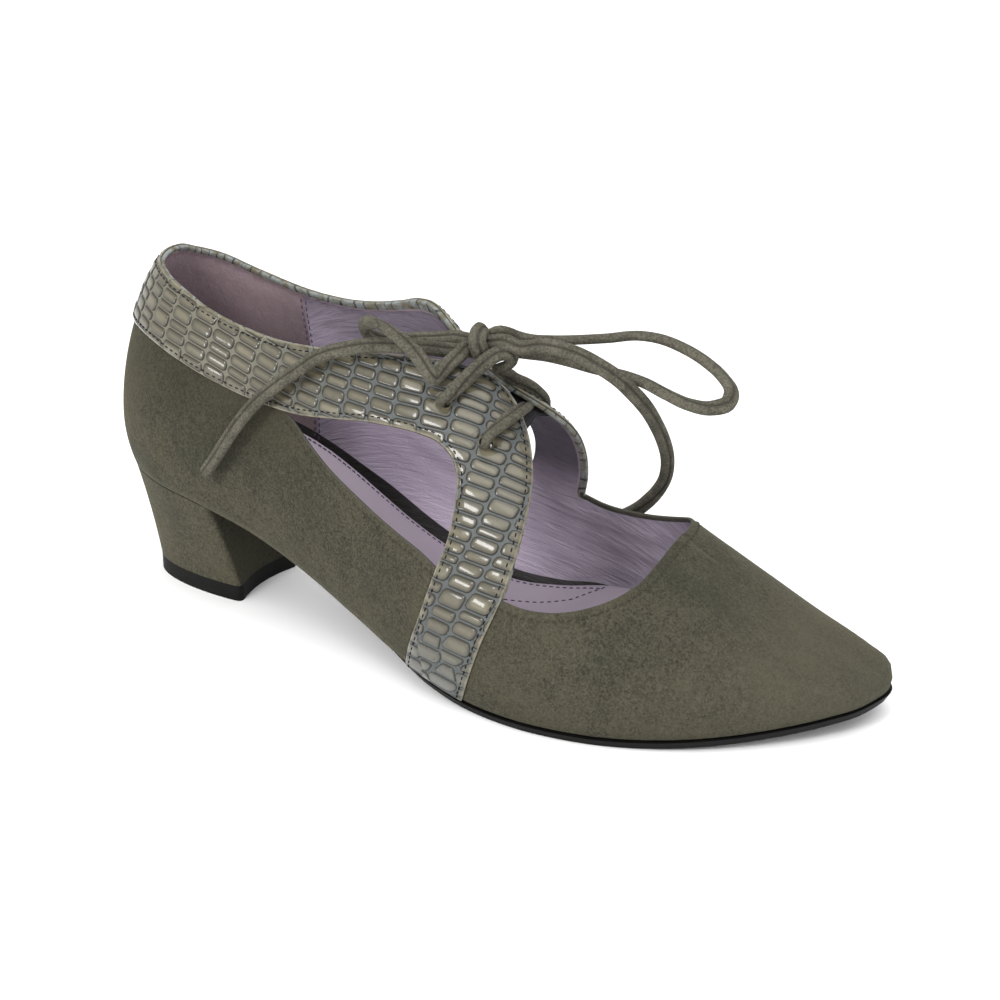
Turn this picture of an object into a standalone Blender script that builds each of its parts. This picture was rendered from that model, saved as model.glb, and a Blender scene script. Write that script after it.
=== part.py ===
"""A right suede pump with a low block heel, an open throat and a laced reptile-grain band.

The shoe stands on z = 0 with its toe towards +X and its outer side towards -Y.
Every leather piece is cut flat, in millimetres, and wrapped on the last:
"station" runs along the sole edge from the back of the heel to the tip of the toe, and
"up" is the girth climbed from the sole edge towards the ridge.
"""

import math

import bmesh
import bpy
import numpy as np
from mathutils import Vector
from mathutils.geometry import delaunay_2d_cdt

# Driving sizes, in millimetres
MM = 0.001
LAST_CENTRE = (129.4, -7.4)
WALL = 1.8
CONTACT_GAP = 0.3
BAND_THICKNESS = 0.8
SOLE_THICKNESS = 2.2
SOLE_PROUD = 0.7
SOLE_GAP = 0.6
SOLE_WAIST_INSET = 3.0
SOLE_WAIST_THICKNESS = 1.2
WAIST_END_STATION = 112.0
SOLE_PROUD_STATION = 140.0
SOLE_FULL_STATION = 150.0
SOLE_TOE_STATION = 240.0
SOLE_START_GAP = 1.2
LIFT_HEIGHT = 4.7
HEEL_BREAST_STATION = 57.0
HEEL_TIP_LENGTH = 40.0
HEEL_TIP_HALF_WIDTH = 15.5
HEEL_TIP_FRONT = 54.5
BREAST_HOLLOW = 3.0
BREAST_HOLLOW_AT_SEAT = 0.35
HEEL_TAPER_BOW = 0.2
INSOLE_THICKNESS = 3.0
INSOLE_INSET = 2.8
INSOLE_TOE_INSET = 6.5
INSOLE_END_STATION = 244.0
INSOLE_NARROWS_STATION = 195.0
LACE_WIDTH = 4.0
HOLE_RADIUS = 2.0
GORE_THICKNESS = 0.9

LATERAL, MEDIAL = -1, 1
TOE_STATION = 266.0
THROAT_STATION = 198.6

# One row for each section of the last: the sole edge on both sides, the ridge above it,
# how far the wall bulges past the edge, the height of the widest point and the roundness.
SECTION_COLUMNS = (
    "station ridge_x ridge_y ridge_z medial_ridge_z "
    "outer_x outer_y inner_x inner_y edge_z outer_bulge inner_bulge widest roundness"
).split()
SECTIONS = (
    (0, 46.7, 0, 118, 118, 12, 0, 12, 0, 38.5, 2.6, 2.6, 15.4, 1.75),
    (16, 46.7, 0, 118, 118, 15.6, -12.5, 15.6, 12.5, 38.2, 2.8, 2.8, 15.4, 1.75),
    (34, 46, 0, 118, 118, 28.5, -20.8, 28.5, 20.3, 36.8, 3.4, 3.4, 16.5, 1.81),
    (54, 47, 0, 117.5, 117.5, 47, -23.5, 47, 22, 33.5, 4.0, 4.0, 18, 1.9),
    (74, 66, 0, 114, 114, 66, -24.5, 66, 20.5, 28.5, 4.0, 4.0, 18, 1.9),
    (94, 86, 0, 110, 109.5, 86, -27.5, 86, 18.5, 21.5, 4.0, 4.0, 18, 2.0),
    (114, 106, 0.5, 104, 102, 106, -32.5, 106, 19, 14.0, 3.5, 4.0, 17, 2.0),
    (134, 126, 1, 94, 82, 126, -38.5, 126, 23, 7.2, 3.0, 3.5, 15, 2.0),
    (154, 146, 1.5, 78, 70.6, 146, -44, 146, 28, 3.4, 2.5, 2.5, 13, 2.0),
    (174, 166, 2, 60, 58.5, 166, -47, 166, 31.5, 2.8, 2.0, 2.0, 12, 2.0),
    (194, 185, 2.5, 45, 45, 186, -45, 186, 32.5, 2.8, 1.5, 1.5, 10, 2.0),
    (214, 203, 3.5, 34, 34, 206, -38, 206, 30, 3.6, 1.2, 1.2, 8, 2.0),
    (232, 219, 4.5, 25.2, 25.2, 223, -28, 223, 24.5, 5.2, 1.0, 1.0, 6.5, 2.0),
    (248, 233, 5, 18.6, 18.6, 238, -15.5, 239, 17, 7.2, 1.0, 1.0, 5, 2.0),
    (260, 242, 5, 14.8, 14.8, 246, -5, 246.5, 11, 8.4, 0.8, 0.8, 3.6, 2.0),
    (266, 246, 5, 13.0, 13.0, 248.7, 4, 248.7, 4, 8.8, 0.4, 0.4, 2.2, 2.0),
)
LOWEST_EDGE = SOLE_THICKNESS + SOLE_GAP

# Pattern edges as (station, up), one for each side of the foot.
COLLAR = {
    LATERAL: ((0, 69), (8, 68.8), (16, 67.7), (34, 66), (50, 64.2), (60, 62.5), (70, 62), (80, 63.3), (96, 68.8),
              (112, 76.3), (126, 83.5), (137, 88.8), (144.5, 91), (150, 90), (154, 86.8), (158, 81.5),
              (162, 74), (165.3, 64.5), (167, 55), (167.6, 46), (167.3, 38), (166.5, 33.2)),
    MEDIAL: ((0, 69), (8, 68.6), (16, 67), (34, 63.7), (50, 60.6), (60, 60.2), (70, 61.4), (80, 64), (92, 69.3),
             (103, 76), (111, 81.8), (118, 85), (126, 83.4), (134, 81), (142, 79), (148, 76.4),
             (152.5, 73), (155.6, 68.8), (157.6, 63.8), (158.5, 58), (158.6, 52), (158.2, 46), (157.2, 39.5),
             (156, 34.8)),
}
THROAT = {
    LATERAL: ((166.5, 33.2), (171, 32.4), (176.5, 32.2), (182, 32.9), (188, 35.2), (193, 39), (196.7, 45),
              (198.2, 53.5), (THROAT_STATION, 62)),
    MEDIAL: ((156, 34.8), (162, 32.6), (170.5, 31.6), (180, 32.6), (186.5, 35.2), (191.5, 39.3),
             (195.3, 45), (197.6, 50), (THROAT_STATION, 54)),
}
WINDOW_TOP = {
    LATERAL: ((89, 47.4), (95.5, 49.7), (107, 55.2), (122.5, 62.6), (133.5, 66.3), (140, 66.9),
              (145, 64.5), (147.6, 60), (148.7, 53), (148.8, 46), (148, 41), (146.2, 35.1)),
    MEDIAL: ((88, 46.5), (94, 48.5), (105, 53), (119, 59), (128, 62), (134, 62.6), (139, 61),
             (142, 57), (143, 51.5), (142.3, 46), (140.6, 40.5), (138.5, 35.5)),
}
WINDOW_BOTTOM = {
    LATERAL: ((146.2, 35.1), (141, 36.7), (131.5, 37.9), (122, 38.6), (113, 39.6), (106, 40.9), (101, 42.6),
              (97, 44.4), (93, 46.4), (89, 47.4)),
    MEDIAL: ((138.5, 35.5), (132, 36), (125, 36.2), (116, 36.8), (107, 38.7), (101, 41.7), (96, 44.7),
             (92, 46.1), (88, 46.5)),
}
BAND_HEEL = {
    LATERAL: ((0, 46.5), (20, 47), (39.5, 46.5), (50.5, 44.9), (62, 43.8), (72, 43.8), (82, 45.4), (89, 47.4)),
    MEDIAL: ((0, 46.5), (20, 46.8), (39.5, 45.8), (50.5, 44.2), (62, 43.2), (72, 43.2), (80, 44.4), (88, 46.5)),
}
STRAP_REAR = {
    LATERAL: ((146.2, 35.1), (143.7, 26.8), (140.5, 17.3), (137.7, 10), (135.3, 3.3), (134.2, 0)),
    MEDIAL: ((138.5, 35.5), (135.5, 26.8), (132.5, 17.3), (130, 10), (128, 3.3), (127, 0)),
}
STRAP_FRONT = {
    LATERAL: ((154.6, 0), (156.4, 4.5), (159.6, 13.2), (162.3, 21), (164.9, 28), (166.5, 33.2)),
    MEDIAL: ((147.5, 0), (149, 4.5), (151.5, 13), (153.5, 21), (155, 28), (156, 34.8)),
}
LACE_HOLES = {LATERAL: ((138.5, 77.4), (151.5, 72)), MEDIAL: ((149, 67),)}

# Gore edges: station and up of its rear and front corners, where it is sewn under each strap.
GORE = {LATERAL: ((148.5, 81.5), (157.5, 72.5)), MEDIAL: ((142, 69), (152, 67))}
GORE_DEPTH = {LATERAL: 2.9, MEDIAL: 6.9}
GORE_TUCK = 5.0

# Height of the footbed's inner edge above the sole edge, as (station, rise)
INSOLE_INNER_RISE = ((0, 3.3), (30, 8), (62, 13.4), (84, 11.8), (106, 7), (125, 3.8), (138, 3.3), (151, 5.4),
                     (163, 7.8), (176, 8), (200, 6), (250, 3.3))

# Lace routes in last coordinates, as (x, y, z)
KNOT_CENTRE = (134.8, -4.5, 91.3)
KNOT_HALF_SIZES = (8.0, 6.0, 4.8)
LACE_UPPER_CROSSING = ((131.9, -26.5, 81.5), (133.8, -22.5, 84.3), (135.8, -18, 86.6), (137.6, -13.4, 87.7),
                       (139, -9, 86), (139, -5, 83.4), (138.2, 1, 81.8), (137.3, 6.7, 80.9), (137.8, 12, 77.8),
                       (139.4, 16.2, 73.4))
LACE_LOWER_BAR = ((145.4, -27.4, 72.5), (147.2, -22.3, 75.1), (148.7, -17.5, 76.8), (149.7, -12.6, 77.4),
                  (149, -8, 75.2), (146.6, -3, 71.6), (144, 1, 69))
LOOP_LEFT = ((124.6, -7, 91.4), (121, -8.4, 91), (114.6, -10.5, 90.4), (109.2, -12.5, 89.8), (106, -15, 90.3),
             (104.4, -18, 92), (104.7, -21.5, 94.8), (108, -24.6, 97.9), (111.6, -26, 98.5), (116.5, -27, 97.1),
             (121.6, -28, 95), (126.4, -28.8, 91.4), (129, -28.8, 88), (129.4, -27.4, 86.4), (129.6, -24.4, 86.8),
             (130.2, -20, 88.6), (130.9, -15.5, 90), (131.2, -12.9, 90.8))
LOOP_RIGHT = ((145, -0.6, 92), (150, 0.4, 92.2), (157.7, 2.4, 92.9), (165.4, 4, 94), (173.2, 5, 95.5),
              (179.7, 5, 95.5), (186.7, 4, 94.3), (193.9, 2.5, 91.9), (199.6, 0.5, 89), (202.9, -2, 86.5),
              (203.2, -5, 84.4), (199.7, -7, 83.1), (193.5, -7.4, 83.2), (186.7, -6.2, 84.5), (179.5, -4, 85.8),
              (174, -2.8, 86.9), (166, -2.6, 87.6), (157.5, -3.4, 87.8), (150.6, -4.6, 87.6), (145.4, -5, 87.4))
END_LEFT = ((124.4, -12.6, 89.4), (121.6, -18, 91), (118, -22.2, 92), (115.2, -24.2, 92.4), (109.8, -26.5, 92.4),
            (104.2, -28, 91.2), (93.5, -29.5, 88.6), (84.5, -31, 83.5), (77, -32.2, 76.7), (68.6, -32.4, 68.4),
            (63.6, -32.4, 62.2), (59.2, -32, 56.2), (55.9, -31.4, 47.5))
END_RIGHT = ((145.6, -9.5, 92.2), (153.9, -11.4, 94.3), (159.6, -12.4, 94.5), (164.8, -13, 93.8), (169.7, -13, 92.1),
             (174.8, -12, 89.2), (178.6, -7.6, 83), (179.4, 1.6, 74.3), (178.9, 11.5, 63.9), (177, 19, 56),
             (173.5, 27.5, 46.7), (166.1, 34, 37.7), (159.4, 36.6, 30.8), (152, 36.4, 26.4), (145, 34.8, 23.4))

# Faceting: point spacing of the wrapped pieces, in millimetres
LEATHER_SPACING = 5.6
EDGE_SPACING = 4.2
SECTION_SAMPLES = 49
GRID_CLEARANCE = 0.55
LACE_POINT_STEP = 2.3


def hermite(knots, values, at):
    """Smooth curve through the rows of a table, with each row's slope from its neighbours."""
    slopes = np.diff(values, axis=0) / np.diff(knots)[:, None]
    spans = np.diff(knots)[:, None]
    tangents = (slopes[:-1] * spans[1:] + slopes[1:] * spans[:-1]) / (spans[1:] + spans[:-1])
    tangents = np.concatenate([slopes[:1], tangents, slopes[-1:]])
    row = np.clip(np.searchsorted(knots, at) - 1, 0, len(knots) - 2)
    span = (knots[row + 1] - knots[row])[:, None]
    t = (at - knots[row])[:, None] / span
    return (
        (2 * t**3 - 3 * t**2 + 1) * values[row]
        + (t**3 - 2 * t**2 + t) * span * tangents[row]
        + (3 * t**2 - 2 * t**3) * values[row + 1]
        + (t**3 - t**2) * span * tangents[row + 1]
    )


def side_rows(side):
    """The section table as (station, ridge x y z, edge x y z, bulge, widest, roundness) for one side."""
    table = {name: [row[i] for row in SECTIONS] for i, name in enumerate(SECTION_COLUMNS)}
    edge = "outer" if side == LATERAL else "inner"
    ridge_z = "ridge_z" if side == LATERAL else "medial_ridge_z"
    names = ("station", "ridge_x", "ridge_y", ridge_z, edge + "_x", edge + "_y", "edge_z", edge + "_bulge",
             "widest", "roundness")
    return np.array([table[name] for name in names], float).T


def section_values(side, stations):
    """Section values at any stations. The other side's rows carry the curve round heel and toe."""
    rows = side_rows(side)
    other = side_rows(-side)
    before = other[1].copy()
    before[0] = -before[0]
    after = other[-2].copy()
    after[0] = 2 * TOE_STATION - after[0]
    rows = np.vstack([before, rows, after])
    values = hermite(rows[:, 0], rows[:, 1:], np.asarray(stations, float))
    values[:, 5] = np.maximum(values[:, 5], LOWEST_EDGE)
    return values


def section_curves(side, stations):
    """Points up the section at each station, from the sole edge to the ridge."""
    values = section_values(side, stations)
    ridge, edge = values[:, 0:3], values[:, 3:6]
    bulge, widest, roundness = (values[:, i][:, None] for i in (6, 7, 8))
    outward = edge[:, :2] - ridge[:, :2]
    reach = np.linalg.norm(outward, axis=1)[:, None]
    height = (ridge[:, 2] - edge[:, 2])[:, None]
    low_count = SECTION_SAMPLES // 4
    low = np.linspace(0, 1, low_count, endpoint=False)[None, :]
    turn = np.linspace(0, math.pi / 2, SECTION_SAMPLES - low_count)[None, :]
    low_out = reach + bulge - bulge * (1 - low) ** 2
    high_out = (reach + bulge) * np.clip(np.cos(turn), 0, 1) ** (2 / roundness)
    out = np.hstack([low_out, high_out])
    rise = np.hstack([widest * low, widest + (height - widest) * np.sin(turn) ** (2 / roundness)])
    plan = ridge[:, None, :2] + (outward / reach)[:, None, :] * out[:, :, None]
    return np.concatenate([plan, (edge[:, 2:3] + rise)[:, :, None]], axis=2)


def girths(side, stations):
    """Girth from the sole edge to the ridge at each station."""
    curves = section_curves(side, stations)
    return np.linalg.norm(np.diff(curves, axis=1), axis=2).sum(axis=1)


def on_last(side, pattern):
    """Pattern points (station, up) wrapped on the last."""
    pattern = np.asarray(pattern, float)
    curves = section_curves(side, pattern[:, 0])
    steps = np.linalg.norm(np.diff(curves, axis=1), axis=2)
    climbed = np.hstack([np.zeros((len(curves), 1)), np.cumsum(steps, axis=1)])
    up = np.clip(pattern[:, 1], 0, climbed[:, -1])
    row = np.arange(len(curves))
    k = np.clip((climbed <= up[:, None]).sum(axis=1) - 1, 0, SECTION_SAMPLES - 2)
    share = ((up - climbed[row, k]) / steps[row, k])[:, None]
    return curves[row, k] * (1 - share) + curves[row, k + 1] * share


def outward_normals(side, pattern):
    """Unit normals of the last, pointing out of the shoe."""
    pattern = np.asarray(pattern, float)
    step = 0.8
    nudged = [pattern + shift for shift in ((step, 0), (-step, 0), (0, step), (0, -step))]
    for moved in nudged:
        moved[:, 0] = np.clip(moved[:, 0], 0, TOE_STATION)
    ahead, behind, above, below = (on_last(side, moved) for moved in nudged)
    normal = np.cross(ahead - behind, above - below) * (-side)
    return normal / np.maximum(np.linalg.norm(normal, axis=1)[:, None], 1e-9)


def raised(side, pattern, height):
    """Pattern points held a height above the last's surface."""
    return on_last(side, pattern) + outward_normals(side, pattern) * height


def smooth(points, spacing):
    """Points every "spacing" or so along a smooth curve through the given ones."""
    points = np.asarray(points, float)
    knots = np.concatenate([[0], np.cumsum(np.linalg.norm(np.diff(points, axis=0), axis=1))])
    count = max(2, int(round(knots[-1] / spacing)) + 1)
    return hermite(knots, points, np.linspace(0, knots[-1], count))


def inside(points, loop):
    """Which points lie inside a closed pattern loop."""
    x, y = points[:, 0], points[:, 1]
    crossings = np.zeros(len(points), bool)
    for (ax, ay), (bx, by) in zip(loop, np.roll(loop, -1, axis=0)):
        if ay == by:
            continue
        straddles = (ay > y) != (by > y)
        crossings ^= straddles & (x < (bx - ax) * (y - ay) / (by - ay) + ax)
    return crossings


def loop_of(*edges):
    """One closed loop from edges laid end to end."""
    return np.vstack([np.asarray(edge, float)[:-1] for edge in edges])


def flat_panel(outer, holes, lines):
    """Triangulates a pattern piece lying flat, with edges along its loops and its inner lines."""
    chains = [np.vstack([loop, loop[:1]]) for loop in (outer, *holes)] + list(lines)
    border = np.vstack(chains)
    edges = []
    start = 0
    for chain in chains:
        edges += [(i, i + 1) for i in range(start, start + len(chain) - 1)]
        start += len(chain)
    low, high = outer.min(axis=0), outer.max(axis=0)
    columns = np.arange(low[0] + LEATHER_SPACING / 2, high[0], LEATHER_SPACING)
    levels = np.arange(low[1] + LEATHER_SPACING / 2, high[1], LEATHER_SPACING * math.sqrt(3) / 2)
    grid = np.array([(x + LEATHER_SPACING / 2 * (j % 2), y) for j, y in enumerate(levels) for x in columns])
    nearest = np.min(np.linalg.norm(grid[:, None, :] - border[None, :, :], axis=2), axis=1)
    points = np.vstack([border, grid[(nearest > GRID_CLEARANCE * LEATHER_SPACING) & inside(grid, outer)]])
    result = delaunay_2d_cdt([Vector(p) for p in points], edges, [], 1, 1e-5)
    flat = np.array([tuple(v) for v in result[0]])
    faces = np.array([tuple(face) for face in result[2]])
    middles = flat[faces].mean(axis=1)
    keep = inside(middles, outer)
    for hole in holes:
        keep &= ~inside(middles, hole)
    return flat, faces[keep]


def round_hole(centre, radius, sides=10):
    """A small punched hole in a pattern piece."""
    turns = np.arange(sides) * 2 * math.pi / sides
    return np.column_stack([centre[0] + radius * np.cos(turns), centre[1] + radius * np.sin(turns)])


def straight(start, end, count):
    """Evenly spaced points on a straight pattern edge."""
    return np.linspace(start, end, count)


def ridge_edge(side, start, end, count):
    """Pattern points along the ridge."""
    stations = np.linspace(start, end, count)
    return np.column_stack([stations, girths(side, stations)])


def pattern_edge(table, side):
    """One named edge of the pattern as evenly spaced points."""
    return smooth(table[side], EDGE_SPACING)


def band_loop(side):
    """Outline of the band: along the heel and over the window, then the strap, then back along the collar."""
    return loop_of(
        pattern_edge(BAND_HEEL, side),
        pattern_edge(WINDOW_TOP, side),
        pattern_edge(STRAP_REAR, side),
        straight(STRAP_REAR[side][-1], STRAP_FRONT[side][0], 6),
        pattern_edge(STRAP_FRONT, side),
        pattern_edge(COLLAR, side)[::-1],
        straight((0, COLLAR[side][0][1]), (0, BAND_HEEL[side][0][1]), 5),
    )


def upper_pattern(side):
    """One half of the upper lying flat, with edges along the band's outline."""
    rear, front = STRAP_REAR[side][-1], STRAP_FRONT[side][0]
    band_low, band_high = BAND_HEEL[side][0], COLLAR[side][0]
    throat_end = (THROAT_STATION, girths(side, [THROAT_STATION])[0])
    toe_end = (TOE_STATION, girths(side, [TOE_STATION])[0])
    outer = loop_of(
        straight((0, 0), rear, 26),
        straight(rear, front, 6),
        straight(front, (TOE_STATION, 0), 24),
        straight((TOE_STATION, 0), toe_end, 4),
        ridge_edge(side, TOE_STATION, THROAT_STATION, 16),
        smooth((*THROAT[side], throat_end), EDGE_SPACING)[::-1],
        pattern_edge(COLLAR, side)[::-1],
        straight((0, band_high[1]), band_low, 5),
        straight(band_low, (0, 0), 10),
    )
    window = loop_of(pattern_edge(WINDOW_TOP, side), pattern_edge(WINDOW_BOTTOM, side))
    holes = [window] + [round_hole(centre, HOLE_RADIUS) for centre in LACE_HOLES[side]]
    lines = [pattern_edge(table, side) for table in (BAND_HEEL, STRAP_REAR, STRAP_FRONT)]
    return flat_panel(outer, holes, lines)


def band_pattern(side):
    """The band's share of the upper's pattern, so that the two lie a constant gap apart."""
    flat, faces = upper_pattern(side)
    return flat, faces[inside(flat[faces].mean(axis=1), band_loop(side))]


def centred(points):
    """Last coordinates in millimetres to the shoe's own frame in metres."""
    shift = np.array([*LAST_CENTRE, 0.0])
    return (np.asarray(points, float) - shift) * MM


def material(name, colour, roughness, metallic=0.0):
    """A plain Principled finish."""
    finish = bpy.data.materials.new(name)
    finish.use_nodes = True
    shader = finish.node_tree.nodes["Principled BSDF"]
    shader.inputs["Base Color"].default_value = (*colour, 1)
    shader.inputs["Roughness"].default_value = roughness
    shader.inputs["Metallic"].default_value = metallic
    return finish


def mesh_object(name, points, faces, finish, collection):
    """An object from millimetre points, with doubled seam points welded and faces turned outward."""
    shape = bmesh.new()
    corners = [shape.verts.new(p) for p in centred(points)]
    for face in faces:
        shape.faces.new([corners[i] for i in face])
    bmesh.ops.remove_doubles(shape, verts=shape.verts, dist=0.00003)
    bmesh.ops.dissolve_degenerate(shape, edges=shape.edges, dist=0.00001)
    bmesh.ops.recalc_face_normals(shape, faces=shape.faces)
    mesh = bpy.data.meshes.new(name)
    shape.to_mesh(mesh)
    shape.free()
    mesh.shade_smooth()
    mesh.materials.append(finish)
    obj = bpy.data.objects.new(name, mesh)
    collection.objects.link(obj)
    return obj


def wrapped(name, pattern, height, thickness, offset, finish, collection):
    """Both halves of a pattern piece wrapped on the last and given their leather's thickness."""
    points, faces = [], []
    for side in (LATERAL, MEDIAL):
        flat, triangles = pattern(side)
        used = np.unique(triangles)
        place = np.full(len(flat), -1)
        place[used] = np.arange(len(used)) + len(points)
        if side == MEDIAL:
            triangles = triangles[:, ::-1]
        faces += [tuple(int(i) for i in place[triangle]) for triangle in triangles]
        points += list(raised(side, flat[used], height))
    obj = mesh_object(name, points, faces, finish, collection)
    shell = obj.modifiers.new("Leather", "SOLIDIFY")
    shell.thickness = thickness * MM
    shell.offset = offset
    turn_outward(obj)
    return obj


def turn_outward(obj):
    """Makes an open wrapped surface face away from the inside of the shoe."""
    mesh = obj.data
    inner = Vector((0, 0, 0.03))
    facing = sum((face.center - inner).dot(face.normal) * face.area for face in mesh.polygons)
    if facing < 0:
        mesh.flip_normals()


def edge_line(side, stations, grow, drop):
    """The sole edge moved outward by "grow" and down by "drop"."""
    values = section_values(side, stations)
    outward = values[:, 3:5] - values[:, 0:2]
    outward /= np.linalg.norm(outward, axis=1)[:, None]
    plan = values[:, 3:5] + outward * np.asarray(grow)[:, None]
    return np.column_stack([plan, values[:, 5] - drop])


def plate(name, stations, grow, top_of, bottom_of, finish, collection, across=8):
    """A closed plate ruled between the two sole edges, with its own top and bottom heights."""
    shares = np.linspace(0, 1, across)
    outer = edge_line(LATERAL, stations, grow, 0)
    inner = edge_line(MEDIAL, stations, grow, 0)
    layers = []
    for lift in (top_of, bottom_of):
        layer = outer[:, None, :] * (1 - shares)[None, :, None] + inner[:, None, :] * shares[None, :, None]
        layer[:, :, 2] += lift(np.asarray(stations)[:, None], shares[None, :])
        layers.append(layer.reshape(-1, 3))
    rows, count = len(stations), len(stations) * across
    faces = []
    for i in range(rows - 1):
        for j in range(across - 1):
            a = i * across + j
            faces.append((a, a + across, a + across + 1, a + 1))
            faces.append((count + a, count + a + 1, count + a + across + 1, count + a + across))
        for j in (0, across - 1):
            a = i * across + j
            faces.append((a, a + across, count + a + across, count + a))
    for i in (0, rows - 1):
        for j in range(across - 1):
            a = i * across + j
            faces.append((a, a + 1, count + a + 1, count + a))
    return mesh_object(name, np.vstack(layers), faces, finish, collection)


def build_outsole(finish, collection):
    """Thin sole from the heel breast to the toe, flat under the ball and inset at the waist."""
    waist = np.linspace(HEEL_BREAST_STATION + SOLE_START_GAP, SOLE_TOE_STATION, 33)
    stations = np.concatenate([waist, np.linspace(SOLE_TOE_STATION, TOE_STATION, 8)[1:]])
    grow = np.interp(stations, (WAIST_END_STATION, SOLE_PROUD_STATION), (-SOLE_WAIST_INSET, SOLE_PROUD))

    def top(station, share):
        return -SOLE_GAP + 0 * station * share

    def bottom(station, share):
        along = (WAIST_END_STATION, SOLE_FULL_STATION)
        thickness = np.interp(station, along, (SOLE_WAIST_THICKNESS, SOLE_THICKNESS))
        return -SOLE_GAP - thickness + 0 * share

    return plate("outsole", stations, grow, top, bottom, finish, collection)


def build_insole(finish, collection):
    """Footbed inside the wall, its inner edge turned up along the arch and beside the ball."""
    stations = np.concatenate([[1.0, 4, 9], np.linspace(15, INSOLE_END_STATION, 28)])
    narrows = (INSOLE_NARROWS_STATION, INSOLE_END_STATION)
    grow = -np.interp(stations, narrows, (INSOLE_INSET, INSOLE_TOE_INSET))
    knots, rises = np.array(INSOLE_INNER_RISE, float).T

    def top(station, share):
        flat = CONTACT_GAP + INSOLE_THICKNESS
        inner_rise = hermite(knots, rises[:, None], station[:, 0])
        return flat + (inner_rise - flat) * share**3

    def bottom(station, share):
        return CONTACT_GAP + 0 * station * share

    return plate("insole", stations, grow, top, bottom, finish, collection)


def heel_outline(share, level):
    """Closed outline of the heel block: share 0 at the seat and 1 at the floor, at a given lift above z = 0."""
    ring = []
    steps = 10
    for side in (LATERAL, MEDIAL):
        along = np.linspace(HEEL_BREAST_STATION, 0, steps + 1) if side == LATERAL else np.linspace(
            0, HEEL_BREAST_STATION, steps + 1)[1:]
        seat = edge_line(side, along, 0 * along, CONTACT_GAP)
        turn = along / HEEL_BREAST_STATION * math.pi / 2
        tip = np.column_stack([
            HEEL_TIP_FRONT - HEEL_TIP_LENGTH * np.cos(turn),
            side * HEEL_TIP_HALF_WIDTH * np.sin(turn),
            0 * turn + level,
        ])
        taper = share * (1 + HEEL_TAPER_BOW - HEEL_TAPER_BOW * share)
        plan = seat[:, :2] * (1 - taper) + tip[:, :2] * taper
        height = seat[:, 2] * (1 - share) + tip[:, 2] * share
        ring.append(np.column_stack([plan, height]))
    ring = np.vstack(ring)
    first, last = ring[-1], ring[0]
    hollow = BREAST_HOLLOW * (BREAST_HOLLOW_AT_SEAT + (1 - BREAST_HOLLOW_AT_SEAT) * share)
    breast = []
    for part in np.linspace(0, 1, 7)[1:-1]:
        point = first * (1 - part) + last * part
        point[0] -= hollow * 4 * part * (1 - part)
        breast.append(point)
    return np.vstack([ring, breast])


def stacked(name, rings, finish, collection):
    """A closed solid through rings of equal length, capped at both ends."""
    count = len(rings[0])
    faces = []
    for level in range(len(rings) - 1):
        for i in range(count):
            a, b = level * count + i, level * count + (i + 1) % count
            faces.append((a, b, b + count, a + count))
    faces.append(tuple(range(count)))
    faces.append(tuple(range((len(rings) - 1) * count, len(rings) * count)))
    return mesh_object(name, np.vstack(rings), faces, finish, collection)


def build_heel(finish, collection):
    """Covered block heel under the seat, tapering to its top lift."""
    level = LIFT_HEIGHT + CONTACT_GAP
    rings = [heel_outline(share, level) for share in (0, 0.12, 0.3, 0.55, 0.8, 1)]
    return stacked("heel", rings, finish, collection)


def build_top_lift(finish, collection):
    """The worn-down piece that meets the floor."""
    rings = [heel_outline(1, level) for level in (LIFT_HEIGHT, 0)]
    return stacked("top_lift", rings, finish, collection)


def build_gore(finish, collection):
    """Elastic bridge sewn under both straps below the knot."""
    columns = []
    for side in (LATERAL, MEDIAL):
        rear, front = (np.array(corner, float) for corner in GORE[side])
        line = straight(rear, front, 5)
        tuck = line + (0, GORE_TUCK)
        pair = [raised(side, edge, -GORE_DEPTH[side]) for edge in (line, tuck)]
        columns += pair if side == LATERAL else pair[::-1]
    middle = (columns[1] + columns[2]) / 2
    columns.insert(2, middle)
    rows = len(columns[0])
    faces = [
        (c * rows + r, c * rows + r + 1, (c + 1) * rows + r + 1, (c + 1) * rows + r)
        for c in range(len(columns) - 1)
        for r in range(rows - 1)
    ]
    obj = mesh_object("elastic_gore", np.vstack(columns), faces, finish, collection)
    shell = obj.modifiers.new("Elastic", "SOLIDIFY")
    shell.thickness = GORE_THICKNESS * MM
    shell.offset = 0
    return obj


def build_lace(name, route, finish, collection):
    """A round lace along a smooth curve through its route."""
    curve = bpy.data.curves.new(name, "CURVE")
    curve.dimensions = "3D"
    curve.bevel_depth = LACE_WIDTH / 2 * MM
    curve.bevel_resolution = 2
    curve.use_fill_caps = True
    line = centred(smooth(route, LACE_POINT_STEP * LACE_WIDTH))
    spline = curve.splines.new("POLY")
    spline.points.add(len(line) - 1)
    for point, place in zip(spline.points, line):
        point.co = (*place, 1)
    curve.materials.append(finish)
    obj = bpy.data.objects.new(name, curve)
    collection.objects.link(obj)
    return obj


def build_knot(finish, collection):
    """Outer form of the bow's knot."""
    shape = bmesh.new()
    bmesh.ops.create_uvsphere(shape, u_segments=14, v_segments=8, radius=1)
    for corner in shape.verts:
        corner.co = Vector([c * h * MM for c, h in zip(corner.co, KNOT_HALF_SIZES)])
    mesh = bpy.data.meshes.new("lace_knot")
    shape.to_mesh(mesh)
    shape.free()
    mesh.shade_smooth()
    mesh.materials.append(finish)
    obj = bpy.data.objects.new("lace_knot", mesh)
    obj.location = centred([KNOT_CENTRE])[0]
    collection.objects.link(obj)
    return obj


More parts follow.
